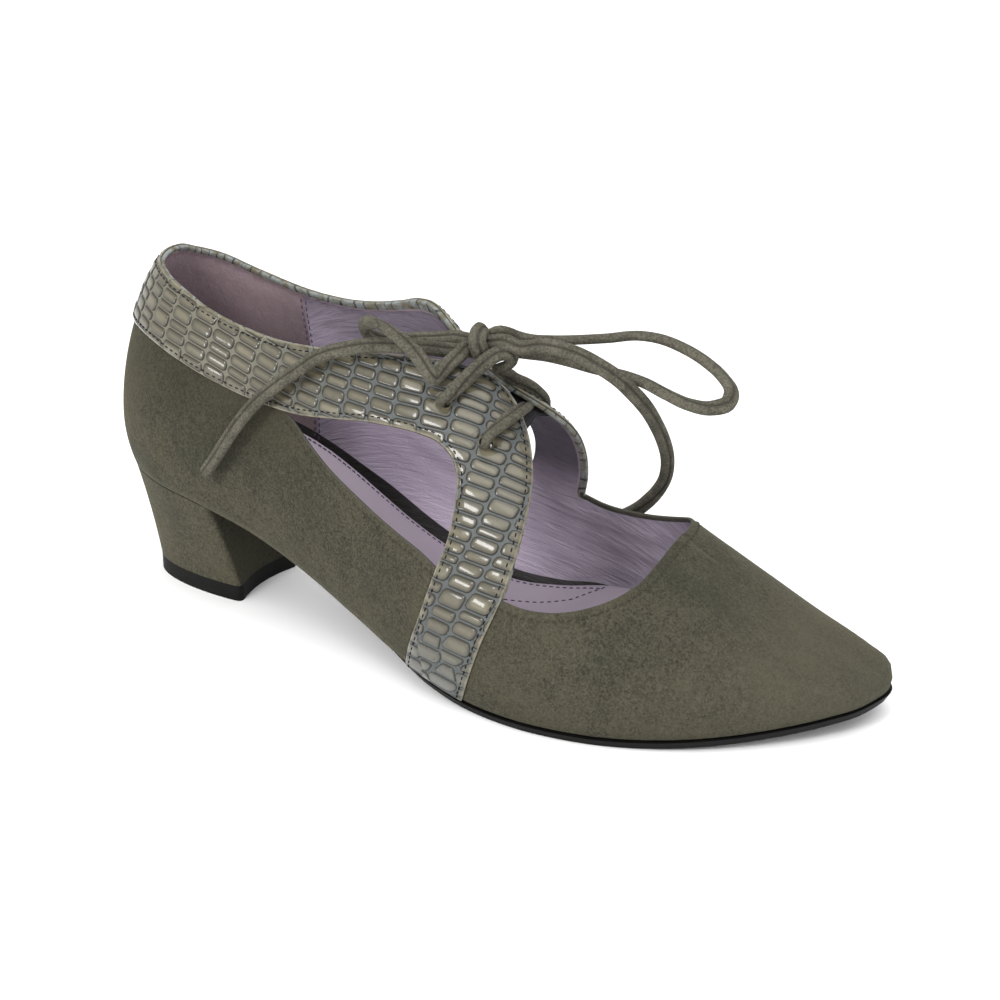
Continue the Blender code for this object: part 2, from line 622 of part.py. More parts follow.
def main():
    for obj in list(bpy.data.objects):
        bpy.data.objects.remove(obj)
    shoe = bpy.data.collections.new("block_heel_lace_pump")
    bpy.context.scene.collection.children.link(shoe)
    suede = material("olive suede", (0.105, 0.098, 0.072), 0.95)
    reptile = material("reptile grain leather", (0.34, 0.32, 0.25), 0.3)
    sole_black = material("black sole", (0.012, 0.011, 0.011), 0.6)
    lavender = material("lavender leather", (0.33, 0.28, 0.36), 0.6)
    elastic = material("black elastic", (0.012, 0.012, 0.013), 0.9)
    lace = material("suede lace", (0.12, 0.11, 0.085), 0.95)
    wrapped("upper", upper_pattern, 0, WALL, -1, suede, shoe)
    wrapped("band", band_pattern, CONTACT_GAP, BAND_THICKNESS, 1, reptile, shoe)
    build_outsole(sole_black, shoe)
    build_insole(lavender, shoe)
    build_heel(suede, shoe)
    build_top_lift(sole_black, shoe)
    build_gore(elastic, shoe)
    build_lace("lace_crossing", LACE_UPPER_CROSSING, lace, shoe)
    build_lace("lace_bar", LACE_LOWER_BAR, lace, shoe)
    build_knot(lace, shoe)
    build_lace("lace_loop_left", LOOP_LEFT, lace, shoe)
    build_lace("lace_loop_right", LOOP_RIGHT, lace, shoe)
    build_lace("lace_end_left", END_LEFT, lace, shoe)
    build_lace("lace_end_right", END_RIGHT, lace, shoe)


main()
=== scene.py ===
"""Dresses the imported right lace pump: leathers, stitches, lining, laces, stage and camera.

Every leather piece is a flat pattern wrapped on the last, as in the part's source:
"station" runs along the sole edge from the back of the heel to the tip of the toe, and
"up" is the girth climbed from the sole edge. Pattern and last sizes are millimetres.
"""

import math

import bpy
import numpy as np
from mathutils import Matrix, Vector
from mathutils.geometry import delaunay_2d_cdt


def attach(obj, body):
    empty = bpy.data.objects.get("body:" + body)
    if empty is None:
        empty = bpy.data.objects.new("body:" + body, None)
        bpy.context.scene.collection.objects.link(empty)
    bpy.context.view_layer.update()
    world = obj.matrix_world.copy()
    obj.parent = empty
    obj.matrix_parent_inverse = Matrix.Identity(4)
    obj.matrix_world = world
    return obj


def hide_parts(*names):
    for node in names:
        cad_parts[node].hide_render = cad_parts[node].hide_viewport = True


bl_info = {
    "name": "Lace Pump",
    "version": (1, 0, 0),
    "blender": (4, 5, 0),
    "location": "3D View > Sidebar > Lace Pump",
    "description": "Dresses a block heel lace pump in suede, reptile grain leather and lining",
    "category": "Add Mesh",
}

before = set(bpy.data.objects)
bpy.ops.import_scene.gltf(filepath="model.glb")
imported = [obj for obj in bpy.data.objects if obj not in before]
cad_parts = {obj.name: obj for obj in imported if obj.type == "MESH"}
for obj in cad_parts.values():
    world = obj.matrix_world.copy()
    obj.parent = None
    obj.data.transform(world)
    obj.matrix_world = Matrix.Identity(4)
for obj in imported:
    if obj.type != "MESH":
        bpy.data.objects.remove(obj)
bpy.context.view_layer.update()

# Last and frame, as in the part's source
MM = 0.001
LAST_CENTRE = (129.4, -7.4)
LATERAL, MEDIAL = -1, 1
SIDES = (LATERAL, MEDIAL)
TOE_STATION = 266.0
THROAT_STATION = 198.6
SOLE_THICKNESS = 2.2
SOLE_PROUD = 0.7
SOLE_GAP = 0.6
SOLE_WAIST_INSET = 3.0
SOLE_WAIST_THICKNESS = 1.2
SOLE_DRAWN_IN = 1.3
WAIST_END_STATION = 112.0
SOLE_PROUD_STATION = 140.0
SOLE_FULL_STATION = 150.0
SOLE_TOE_STATION = 240.0
SOLE_START_GAP = 1.2
LIFT_HEIGHT = 4.7
CONTACT_GAP = 0.3
HEEL_BREAST_STATION = 57.0
HEEL_TIP_LENGTH = 40.0
HEEL_TIP_HALF_WIDTH = 15.5
HEEL_TIP_FRONT = 54.5
BREAST_HOLLOW = 3.0
BREAST_HOLLOW_AT_SEAT = 0.35
HEEL_TAPER_BOW = 0.2
LIFT_BEVEL = 0.3
LIFT_FOOT = 0.5
LIFT_CLEARANCE = 0.05
INSOLE_THICKNESS = 3.0
INSOLE_INSET = 2.8
INSOLE_TOE_INSET = 6.5
INSOLE_END_STATION = 244.0
INSOLE_NARROWS_STATION = 195.0
FOOTBED_SEAT_INSET = 0.9
FOOTBED_HEEL_STATIONS = (1.0, 3, 6, 10)
FOOTBED_EVEN_STATION = 14
FOOTBED_EDGE_DROP = 0.8
FOOTBED_EDGE_ROUND = 1.6
HOLE_RADIUS = 1.7
GORE_THICKNESS = 0.9
GORE_TUCK = 5.0
GORE_RIB = 0.12
LOWEST_EDGE = SOLE_THICKNESS + SOLE_GAP

# One row for each section of the last: the sole edge on both sides, the ridge above it,
# how far the wall bulges past the edge, the height of the widest point and the roundness.
SECTION_COLUMNS = (
    "station ridge_x ridge_y ridge_z medial_ridge_z "
    "outer_x outer_y inner_x inner_y edge_z outer_bulge inner_bulge widest roundness"
).split()
SECTIONS = (
    (0, 46.7, 0, 118, 118, 12, 0, 12, 0, 38.5, 2.6, 2.6, 15.4, 1.75),
    (16, 46.7, 0, 118, 118, 15.6, -12.5, 15.6, 12.5, 38.2, 2.8, 2.8, 15.4, 1.75),
    (34, 46, 0, 118, 118, 28.5, -20.8, 28.5, 20.3, 36.8, 3.4, 3.4, 16.5, 1.81),
    (54, 47, 0, 117.5, 117.5, 47, -23.5, 47, 22, 33.5, 4.0, 4.0, 18, 1.9),
    (74, 66, 0, 114, 114, 66, -24.5, 66, 20.5, 28.5, 4.0, 4.0, 18, 1.9),
    (94, 86, 0, 110, 109.5, 86, -27.5, 86, 18.5, 21.5, 4.0, 4.0, 18, 2.0),
    (114, 106, 0.5, 104, 102, 106, -32.5, 106, 19, 14.0, 3.5, 4.0, 17, 2.0),
    (134, 126, 1, 94, 82, 126, -38.5, 126, 23, 7.2, 3.0, 3.5, 15, 2.0),
    (154, 146, 1.5, 78, 70.6, 146, -44, 146, 28, 3.4, 2.5, 2.5, 13, 2.0),
    (174, 166, 2, 60, 58.5, 166, -47, 166, 31.5, 2.8, 2.0, 2.0, 12, 2.0),
    (194, 185, 2.5, 45, 45, 186, -45, 186, 32.5, 2.8, 1.5, 1.5, 10, 2.0),
    (214, 203, 3.5, 34, 34, 206, -38, 206, 30, 3.6, 1.2, 1.2, 8, 2.0),
    (232, 219, 4.5, 25.2, 25.2, 223, -28, 223, 24.5, 5.2, 1.0, 1.0, 6.5, 2.0),
    (248, 233, 5, 18.6, 18.6, 238, -15.5, 239, 17, 7.2, 1.0, 1.0, 5, 2.0),
    (260, 242, 5, 14.8, 14.8, 246, -5, 246.5, 11, 8.4, 0.8, 0.8, 3.6, 2.0),
    (266, 246, 5, 13.0, 13.0, 248.7, 4, 248.7, 4, 8.8, 0.4, 0.4, 2.2, 2.0),
)

# Pattern edges as (station, up), one for each side of the foot.
COLLAR = {
    LATERAL: ((0, 69), (8, 68.8), (16, 67.7), (34, 66), (50, 64.2), (60, 62.5), (70, 62), (80, 63.3),
              (96, 68.8), (112, 76.3), (126, 83.5), (137, 88.8), (144.5, 91), (150, 90), (154, 86.8),
              (158, 81.5), (162, 74), (165.3, 64.5), (167, 55), (167.6, 46), (167.3, 38), (166.5, 33.2)),
    MEDIAL: ((0, 69), (8, 68.6), (16, 67), (34, 63.7), (50, 60.6), (60, 60.2), (70, 61.4), (80, 64),
             (92, 69.3), (103, 76), (111, 81.8), (118, 85), (126, 83.4), (134, 81), (142, 79), (148, 76.4),
             (152.5, 73), (155.6, 68.8), (157.6, 63.8), (158.5, 58), (158.6, 52), (158.2, 46),
             (157.2, 39.5), (156, 34.8)),
}
THROAT = {
    LATERAL: ((166.5, 33.2), (171, 32.4), (176.5, 32.2), (182, 32.9), (188, 35.2), (193, 39), (196.7, 45),
              (198.2, 53.5), (THROAT_STATION, 62)),
    MEDIAL: ((156, 34.8), (162, 32.6), (170.5, 31.6), (180, 32.6), (186.5, 35.2), (191.5, 39.3),
             (195.3, 45), (197.6, 50), (THROAT_STATION, 54)),
}
WINDOW_TOP = {
    LATERAL: ((89, 47.4), (95.5, 49.7), (107, 55.2), (122.5, 62.6), (133.5, 66.3), (140, 66.9),
              (145, 64.5), (147.6, 60), (148.7, 53), (148.8, 46), (148, 41), (146.2, 35.1)),
    MEDIAL: ((88, 46.5), (94, 48.5), (105, 53), (119, 59), (128, 62), (134, 62.6), (139, 61),
             (142, 57), (143, 51.5), (142.3, 46), (140.6, 40.5), (138.5, 35.5)),
}
WINDOW_BOTTOM = {
    LATERAL: ((146.2, 35.1), (141, 36.7), (131.5, 37.9), (122, 38.6), (113, 39.6), (106, 40.9), (101, 42.6),
              (97, 44.4), (93, 46.4), (89, 47.4)),
    MEDIAL: ((138.5, 35.5), (132, 36), (125, 36.2), (116, 36.8), (107, 38.7), (101, 41.7), (96, 44.7),
             (92, 46.1), (88, 46.5)),
}
BAND_HEEL = {
    LATERAL: ((0, 46.5), (20, 47), (39.5, 46.5), (50.5, 44.9), (62, 43.8), (72, 43.8), (82, 45.4),
              (89, 47.4)),
    MEDIAL: ((0, 46.5), (20, 46.8), (39.5, 45.8), (50.5, 44.2), (62, 43.2), (72, 43.2), (80, 44.4),
             (88, 46.5)),
}
STRAP_REAR = {
    LATERAL: ((146.2, 35.1), (143.7, 26.8), (140.5, 17.3), (137.7, 10), (135.3, 3.3), (134.2, 0)),
    MEDIAL: ((138.5, 35.5), (135.5, 26.8), (132.5, 17.3), (130, 10), (128, 3.3), (127, 0)),
}
STRAP_FRONT = {
    LATERAL: ((154.6, 0), (156.4, 4.5), (159.6, 13.2), (162.3, 21), (164.9, 28), (166.5, 33.2)),
    MEDIAL: ((147.5, 0), (149, 4.5), (151.5, 13), (153.5, 21), (155, 28), (156, 34.8)),
}
LACE_HOLES = {LATERAL: ((138.5, 77.4), (151.5, 72)), MEDIAL: ((149, 67),)}
GORE = {LATERAL: ((148.5, 81.5), (157.5, 72.5)), MEDIAL: ((142, 69), (152, 67))}
GORE_DEPTHS = {LATERAL: (2.9, 2.9), MEDIAL: (0.6, 2.6)}

# Height of the footbed's inner edge above the sole edge, as (station, rise)
INSOLE_INNER_RISE = ((0, 3.3), (30, 8), (62, 13.4), (84, 11.8), (106, 7), (125, 3.8), (138, 3.3),
                     (151, 5.4), (163, 7.8), (176, 8), (200, 6), (250, 3.3))

# Lace routes in last coordinates, as (x, y, z)
LACE_UPPER_CROSSING = ((133, -26.2, 81.4), (134.4, -23.3, 83.5), (136.5, -19.2, 86.4), (138.6, -15.7, 89),
                       (140.3, -13.1, 90.4), (141.8, -11.3, 90.7), (143.1, -10, 89.8), (143.3, -9.1, 88.3),
                       (142.1, -8.9, 86.8), (139.8, -8, 85.4), (137.5, -5.5, 83.8), (136.5, -1.6, 82),
                       (136.2, 1.8, 80.2))
# How the crossing lace lies on the far strap before its hole, as (station, up, height)
LACE_ON_STRAP = ((143.2, 79.2, 2.4), (145.2, 75.5, 2.2), (147.2, 71, 2.1), (148.6, 68.2, 1.6))
LACE_LOWER_BAR = ((145.4, -27.4, 72.5), (147.2, -22.3, 75.1), (148.7, -17.5, 76.8), (147.3, -12.5, 75.8),
                  (145, -6, 74), (142.4, 0, 72.1), (140.3, 5, 70.5), (138.1, 10, 68.6), (136.2, 14, 67))
LOOP_LEFT = ((124.6, -7, 91.4), (121, -8.4, 91), (114.6, -10.5, 90.4), (109.2, -12.5, 89.8),
             (106, -15, 90.3), (104.4, -18, 92), (104.7, -21.5, 94.8), (108, -24.6, 97.9),
             (111.6, -26, 98.5), (116.5, -27, 97.1), (121.6, -28, 95), (126.4, -28.8, 91.4),
             (129, -28.8, 88), (129.4, -27.4, 86.4), (129.6, -24.4, 86.8), (130.2, -20, 88.6),
             (130.9, -15.5, 90), (131.2, -12.9, 90.8))
LOOP_RIGHT = ((145, -0.6, 92), (150, 0.4, 92.2), (157.7, 2.4, 92.9), (165.4, 4, 94), (173.2, 5, 95.5),
              (179.7, 5, 95.5), (186.7, 4, 94.3), (193.9, 2.5, 91.9), (199.6, 0.5, 89), (202.9, -2, 86.5),
              (203.2, -5, 84.4), (199.7, -7, 83.1), (193.5, -7.4, 83.2), (186.7, -6.2, 84.5),
              (179.5, -4, 85.9), (173, -3, 86.7), (164.8, -3, 87.2), (155.6, -3.4, 88.4),
              (150.5, -4, 88.9), (145.4, -4.8, 89))
END_LEFT = ((124.4, -12.6, 89.4), (121.6, -18, 91), (118, -22.2, 92), (115.2, -24.2, 92.4),
            (109.8, -26.5, 92.4), (104.2, -28, 91.2), (95.5, -29.2, 88.1), (87.7, -30.8, 82.6),
            (82.9, -31.6, 79), (76, -32.2, 73), (69.7, -32.4, 66), (65, -32.4, 59.8), (60.3, -32.2, 53.3),
            (56.1, -31.8, 48))
END_RIGHT = ((145.6, -9.5, 92.2), (153.9, -11.4, 94.3), (159.6, -12.4, 94.5), (164.8, -13, 93.8),
             (169.7, -13, 92.1), (174.8, -12, 89.2), (178.5, -7.6, 83.5), (179.5, 5.5, 71),
             (179.1, 11.5, 64.7), (178.1, 17, 58.6), (176.5, 21.5, 53.2), (174.3, 25.5, 48.1),
             (170.9, 29.5, 42.7), (166.7, 33, 37.4), (162.2, 35.5, 32.8), (157, 36.8, 29),
             (151, 36.4, 26), (145, 34.8, 23.4))
KNOT_WRAP = ((131.7, -1.8, 91.9), (132.5, -5.9, 94.3), (134, -10.9, 94.5), (135.2, -13.7, 93.2),
             (135.9, -13.5, 91), (135.3, -10.6, 88.5), (134, -7.1, 86.6))
# What the knot hides of each lace: the points before its route and the points after it
KNOT_RUNS = {
    "lace_loop_left": (((132.7, -4.6, 90.7), (129, -6, 90.9)), ((133.4, -9.9, 90.2), (134.3, -6.4, 90))),
    "lace_loop_right": (((132.2, -3.7, 90.6), (134.4, -4.2, 92.8), (136.4, -3.9, 94), (137.9, -2.6, 93.6),
                         (140.6, -0.9, 92.4)), ((142.1, -5, 89), (139.2, -5.2, 89.1), (134.9, -5.2, 89.1))),
    "lace_end_left": (((133.5, -6.1, 88.6), (130.3, -8.3, 88.9), (127.4, -10.4, 89)), ()),
    "lace_end_right": (((132.9, -9.1, 91.1), (136.7, -9.1, 92.2), (140.6, -8.9, 93)), ()),
}
INSIDE_LACE_DEPTH = 3.9
TOWARDS_VIEWER = (0.25, -0.75, 0.6)
KNOT_WRAP_WIDEN = 1.15
KNOT_SPACING = 0.6
UNDER_LACE_SPACING = 4.0
# Heights of the lace above the last as it goes through a near hole and the far hole
NEAR_HOLE_HEIGHTS = (-1, 2)
FAR_HOLE_HEIGHTS = (0, -1.2)
# The lace's section as shares of its half width, and its fold as shares of its width and thickness
LACE_TOP_SHARES = (0.9, 0.7, 0.45, 0.26, 0.15, 0.07, 0, -0.07, -0.15, -0.26, -0.45, -0.7, -0.9)
LACE_LOW_SHARES = (-0.97, -0.8, -0.4, 0, 0.4, 0.8, 0.97)
LACE_ROUNDNESS = 2.2
FOLD_WIDTH = 0.1
FOLD_DEPTH = 0.17
LACE_STEER = 0.15
# Laces that hang free as (name, route, far end, which way the broad side faces)
LACE_CORDS = (
    ("lace_loop_left", LOOP_LEFT, "object", (0.25, -0.5, 0.8)),
    ("lace_loop_right", LOOP_RIGHT, "object", (0, 0.25, 0.95)),
    ("lace_end_left", END_LEFT, "bare", (0, -0.75, 0.65)),
    ("lace_end_right", END_RIGHT, "bare", TOWARDS_VIEWER),
)

# Seams and stitches
GRIP_SEAM = 66.0
GRIP_ROW_OFFSET = 0.9
GRIP_ROW_ENDS = (8, 58)
GRIP_ROW_SPACING = 1.0
TURNED_SCALE = 4.4
STITCH_INSET = 1.4
STITCH_RADIUS = 0.21
SUEDE_STITCH_INSET = 2.2
# One stitch as (place along it, lift, girth), as shares of its length and radius
STITCH_PROFILE = ((-0.5, -1.0, 0.45), (-0.35, 0.35, 1.0), (0.0, 0.6, 1.0), (0.35, 0.35, 1.0),
                  (0.5, -1.0, 0.45))
STITCH_SIDES = 6
# Rows of stitches on the footbed as (stations, shares from the outer to the inner edge)
FOOTBED_STITCH_LINES = (
    ((60, 76, 93, 110, 130, 146, 164), (0.97, 0.97, 0.968, 0.962, 0.955, 0.95, 0.955)),
    ((132, 141, 150, 158, 161, 165), (0.72, 0.74, 0.79, 0.855, 0.91, 0.97)),
)

# Width of the band leather turned over the collar to the inside, as (station, width)
TURNED_WIDTHS = ((0, 1.3), (80, 1.5), (105, 1.9), (120, 3.4), (144, 3.4), (151, 2.4), (156, 1.7),
                 (160, 1.4))
TURNED_STEP = 0.15
TURNED_RISE = 0.3
TURNED_SUEDE = 1.3

# Thickness of the upper's cut edges and how far in it thins towards them
EDGE_THICKNESS = 0.9
SKIVE_WIDTH = 8.0
# Top of the dark strip between lining and footbed, as (station, up)
STRIP_TOP = ((-20, 9), (30, 11), (56, 12.7), (84, 11.6), (93, 11), (108, 8), (116, 6.4), (135, 4.1),
             (150, 4.9), (160, 6.2), (172, 4), (190, 0), (270, 0))
# Soft creases as (start, end, height, half width), in pattern millimetres
VAMP_CREASES = {
    LATERAL: (((176, 14), (196, 30), -0.3, 4), ((188, 8), (212, 26), -0.25, 5),
              ((40, 12), (66, 30), -0.3, 7)),
    MEDIAL: (((172, 14), (194, 30), -0.3, 4), ((186, 8), (210, 24), -0.25, 5)),
}
LINING_FOLDS = {
    LATERAL: (((170, 24), (190, 20), 0.4, 2), ((96, 56), (120, 66), 0.3, 2.5)),
    MEDIAL: (((152, 22), (190, 15), 0.5, 2.2), ((150, 30), (176, 24), 0.4, 2),
             ((148, 14), (178, 10), 0.35, 2), ((96, 24), (124, 20), 0.4, 2.5),
             ((104, 32), (130, 26), 0.35, 2)),
}

# Reptile grain: rounded scales in columns, in millimetres of pattern
COLUMN_PITCH = 7.9
ROW_PITCH = 3.65
ROW_UNEVEN = 0.3
COLUMN_GROOVE = 0.55
ROW_GROOVE = 0.5
CORNER_ROUND = 1.3
SCALE_RINGS = (0.0, 0.25, 0.7)
RING_SPACING = 0.6
SCALE_SHOULDER = 0.75
RING_TURNS = 240
CORNER_SHARE = 0.8
LEAST_CORNER = 0.15
LEAST_HALF_SCALE = 0.25
SPINE_POINTS = 8
SPINE_INSET = 0.5
SEAM_POINTS = 17
SEAM_INSET = 0.6
SCALE_COLUMNS = range(-2, 26)
SCALE_ROWS = range(-4, 30)
GROOVE_CLIMB = (-8, 96)
EDGE_RELIEF = 0.25
EDGE_PRESSED = 0.35
# How the rows climb with the station, and how the columns lean where the band is level, as (station, value)
ROW_RISE = ((-10, 1), (0, 0), (60, -6), (75, -7), (92, -5.6), (112, -1.2), (125, 2.4), (135, 5.4),
            (145, 7.5), (155, 7.9), (168, 6.9))
COLUMN_LEAN = ((60, 0.24), (75, 0.22), (92, 0.186), (112, 0.05), (120, -0.02), (128, -0.12), (135, -0.145))
LEAN_MIDDLE = 62.0
# How the columns bend down the straps, and how the rows widen there, as (climb, value)
STRAP_BEND = ((-12, -25), (0, -19.3), (10, -14.6), (18, -10.9), (28, -6.6), (38, -3.1), (51, -0.4),
              (62, 0), (70, -0.8), (95, -4.4))
ROW_STRETCH = ((-18, -8.4), (30, 30), (100, 100))
STRAP_STATIONS = (138, 148)
# How far the columns wander, with more of it near the sole
COLUMN_WANDER = 0.35
WANDER_LENGTH = 6.5
WILD_WANDER = 1.3
WILD_LENGTHS = (1.9, 2.3)
WILD_UP = (4, 16)
BEND_ROUNDS = 8
# How the scales settle towards the band's edge, as margins in millimetres
SETTLE_MARGIN = (1.2, 2.6)
PRESSED_MARGIN = (0, 0.8)
UNEVEN_RELIEF = (0.75, 0.5)

# Where a finish changes over the pattern, as (from, to) in stations or in ups
# Quarter below the band, darkened partly by nap and partly as painted shade
NAP_AND_SHADE_UP = (16, 50)
NAP_AND_SHADE_STATIONS = (80, 116)
# Towards the toe, where painted light lightens the suede
TOE_LIGHT_STATIONS = (206, 262)
PALE_GROOVE_STATIONS = (70, 120)
GREY_STRAP_UP = (4, 24)
WRINKLE_MIDDLE = 132
WRINKLE_BOW = 0.006
WINDOW_REAR_STATIONS = (70, 90)
WINDOW_FRONT_STATIONS = (125, 148)
# Height below which the lining in the window is painted lighter, as if lit through it
PAINTED_WINDOW_LIGHT_UP = (36, 52)
COLLAR_SHADE_UP = (46, 64)
STRAP_SHADE_STATIONS = (130, 142)
STRAP_SHADE_UP = (34, 48)
# A painted shade band across the heel grip, rising from and falling to these heights
GRIP_SHADE_FROM_UP = (20, 32)
GRIP_SHADE_TO_UP = (32, 60)
# A painted highlight streak on the heel grip, rising and falling over these stations
GRIP_HIGHLIGHT_FROM_STATIONS = (26, 46)
GRIP_HIGHLIGHT_TO_STATIONS = (46, 64)
FOOTBED_SHADE_STATIONS = (116, 160)

# Faceting
UPPER_SPACING = 1.9
BAND_SPACING = 0.6
BAND_CLEARANCE = 0.32
FILL_CLEARANCE = 0.55
MARK_SPACING = 1.5
STITCH_LINE_SPACING = 0.8
UPPER_RIM_BULGE = 0.25
BAND_RIM_BULGE = 0.1
FOOTBED_ROWS = 80
FOOTBED_COLUMNS = 41
FOOTBED_STITCH_POINTS = 60
HEEL_LEVELS = 22
HEEL_STEPS = 44
BREAST_POINTS = 24
HEEL_SOFTENING = 3
SOLE_ROWS = 90
SOLE_TOE_ROWS = 18
SOLE_TOE_STEP = 1.5
SOLE_COLUMNS = 31
GORE_ROWS = 33
GORE_COLUMNS = 40
GORE_LINE_SPACING = 0.2
HOLE_SIDES = 20
NORMAL_STEP = 0.8
SECTION_SAMPLES = 97
BLOCK = 6000
NEAREST_BLOCK = 2000
SEAM_WELD = 0.03
SEAM_SHIFT = SEAM_WELD / 7
RIM_STEPS = 4
LEAST_LENGTH = 1e-9
LEAST_PIECE = 1e-6
PATTERN_WELD = 1e-5
# Which triangles a triangulation gives back: those inside the pattern's edges
INSIDE_FACES = 1
# Angles in degrees from which an edge is shaded sharp
FOOTBED_SHARP = 50
HEEL_SHARP = 60
SOLE_SHARP = 50
GORE_SHARP = 70
# Mixing numbers for the steady shuffle
SHUFFLE_WEIGHTS = (12.9898, 78.233, 37.719)
SHUFFLE_SCALE = 43758.5453

# Floor, camera and lights, in metres and degrees
CAMERA_PLACE = (0.224737, -0.410372, 0.233720)
CAMERA_TILT = 68.0
CAMERA_TURN = 27.7018
CAMERA_LENS = 64.8
SENSOR_WIDTH = 36
CLIP_START = 0.01
FLOOR_HALF = 9.0
# Area lights as (name, place, target, width, height, power)
LIGHTS = (
    ("top_light", (0.4, -0.2, 1.45), (0, 0, 0), 1.3, 1.3, 9.0),
    ("viewer_light", (0.3, -0.75, 0.62), (0, 0, 0.04), 1.0, 1.0, 3.0),
    ("window_light", (-0.12, -1.0, 0.76), (0.017, -0.037, 0.05), 0.3, 0.3, 5.0),
    ("low_window_light", (-0.56, -1.0, 0.16), (0.017, -0.037, 0.05), 0.2, 0.14, 1.6),
)
WORLD_STRENGTH = 1.05


def hermite(knots, values, at):
    """Smooth curve through the rows of a table, with each row's slope from its neighbours."""
    slopes = np.diff(values, axis=0) / np.diff(knots)[:, None]
    spans = np.diff(knots)[:, None]
    tangents = (slopes[:-1] * spans[1:] + slopes[1:] * spans[:-1]) / (spans[1:] + spans[:-1])
    tangents = np.concatenate([slopes[:1], tangents, slopes[-1:]])
    row = np.clip(np.searchsorted(knots, at) - 1, 0, len(knots) - 2)
    span = (knots[row + 1] - knots[row])[:, None]
    t = (at - knots[row])[:, None] / span
    return (
        (2 * t**3 - 3 * t**2 + 1) * values[row]
        + (t**3 - 2 * t**2 + t) * span * tangents[row]
        + (3 * t**2 - 2 * t**3) * values[row + 1]
        + (t**3 - t**2) * span * tangents[row + 1]
    )


def along_table(table, at):
    """Straight interpolation along a table of (place, value)."""
    return np.interp(at, *np.array(table, float).T)


def along_curve(table, at):
    """Smooth interpolation along a table of (place, value)."""
    knots, values = np.array(table, float).T
    return hermite(knots, values[:, None], np.ravel(at)).reshape(np.shape(at))


def unit(vectors):
    """Vectors scaled to length 1."""
    return vectors / np.maximum(np.linalg.norm(vectors, axis=-1, keepdims=True), LEAST_LENGTH)


def run_along(chain):
    """Distance run along a chain of straight pieces, at each of its points."""
    return np.concatenate([[0], np.cumsum(np.linalg.norm(np.diff(chain, axis=0), axis=1))])


def even_steps(length, spacing):
    """Places from 0 to a length, in even steps of about the spacing."""
    return np.linspace(0, length, max(2, int(round(length / spacing)) + 1))


def side_rows(side):
    """The section table as (station, ridge x y z, edge x y z, bulge, widest, roundness) for one side."""
    table = {name: [row[i] for row in SECTIONS] for i, name in enumerate(SECTION_COLUMNS)}
    edge = "outer" if side == LATERAL else "inner"
    ridge_z = "ridge_z" if side == LATERAL else "medial_ridge_z"
    names = ("station", "ridge_x", "ridge_y", ridge_z, edge + "_x", edge + "_y", "edge_z", edge + "_bulge",
             "widest", "roundness")
    return np.array([table[name] for name in names], float).T


def section_values(side, stations):
    """Section values at any stations. The other side's rows carry the curve round heel and toe."""
    rows = side_rows(side)
    other = side_rows(-side)
    before = other[1].copy()
    before[0] = -before[0]
    after = other[-2].copy()
    after[0] = 2 * TOE_STATION - after[0]
    rows = np.vstack([before, rows, after])
    values = hermite(rows[:, 0], rows[:, 1:], np.asarray(stations, float))
    values[:, 5] = np.maximum(values[:, 5], LOWEST_EDGE)
    return values


def section_curves(side, stations):
    """Points up the section at each station, from the sole edge to the ridge."""
    values = section_values(side, stations)
    ridge, edge = values[:, 0:3], values[:, 3:6]
    bulge, widest, roundness = (values[:, i][:, None] for i in (6, 7, 8))
    outward = edge[:, :2] - ridge[:, :2]
    reach = np.linalg.norm(outward, axis=1)[:, None]
    height = (ridge[:, 2] - edge[:, 2])[:, None]
    low_count = SECTION_SAMPLES // 4
    low = np.linspace(0, 1, low_count, endpoint=False)[None, :]
    turn = np.linspace(0, math.pi / 2, SECTION_SAMPLES - low_count)[None, :]
    low_out = reach + bulge - bulge * (1 - low) ** 2
    high_out = (reach + bulge) * np.clip(np.cos(turn), 0, 1) ** (2 / roundness)
    out = np.hstack([low_out, high_out])
    rise = np.hstack([widest * low, widest + (height - widest) * np.sin(turn) ** (2 / roundness)])
    plan = ridge[:, None, :2] + (outward / reach)[:, None, :] * out[:, :, None]
    return np.concatenate([plan, (edge[:, 2:3] + rise)[:, :, None]], axis=2)


def girths(side, stations):
    """Girth from the sole edge to the ridge at each station."""
    curves = section_curves(side, stations)
    return np.linalg.norm(np.diff(curves, axis=1), axis=2).sum(axis=1)


def block_on_last(side, pattern):
    """A block of pattern points wrapped on the last."""
    curves = section_curves(side, pattern[:, 0])
    steps = np.linalg.norm(np.diff(curves, axis=1), axis=2)
    climbed = np.hstack([np.zeros((len(curves), 1)), np.cumsum(steps, axis=1)])
    up = np.clip(pattern[:, 1], 0, climbed[:, -1])
    row = np.arange(len(curves))
    k = np.clip((climbed <= up[:, None]).sum(axis=1) - 1, 0, SECTION_SAMPLES - 2)
    share = ((up - climbed[row, k]) / steps[row, k])[:, None]
    return curves[row, k] * (1 - share) + curves[row, k + 1] * share


def on_last(side, pattern):
    """Pattern points (station, up) wrapped on the last."""
    pattern = np.asarray(pattern, float)
    blocks = np.array_split(pattern, len(pattern) // BLOCK + 1)
    return np.vstack([block_on_last(side, block) for block in blocks])


def outward_normals(side, pattern):
    """Unit normals of the last, pointing out of the shoe."""
    pattern = np.asarray(pattern, float)
    shifts = ((NORMAL_STEP, 0), (-NORMAL_STEP, 0), (0, NORMAL_STEP), (0, -NORMAL_STEP))
    nudged = [pattern + shift for shift in shifts]
    for moved in nudged:
        moved[:, 0] = np.clip(moved[:, 0], 0, TOE_STATION)
    ahead, behind, above, below = (on_last(side, moved) for moved in nudged)
    normal = np.cross(ahead - behind, above - below) * (-side)
    return unit(normal)


def raised(side, pattern, height):
    """Pattern points held a height above the last's surface."""
    return on_last(side, pattern) + outward_normals(side, pattern) * np.reshape(height, (-1, 1))


def smooth(points, spacing):
    """Points every "spacing" or so along a smooth curve through the given ones."""
    points = np.asarray(points, float)
    knots = run_along(points)
    return hermite(knots, points, even_steps(knots[-1], spacing))


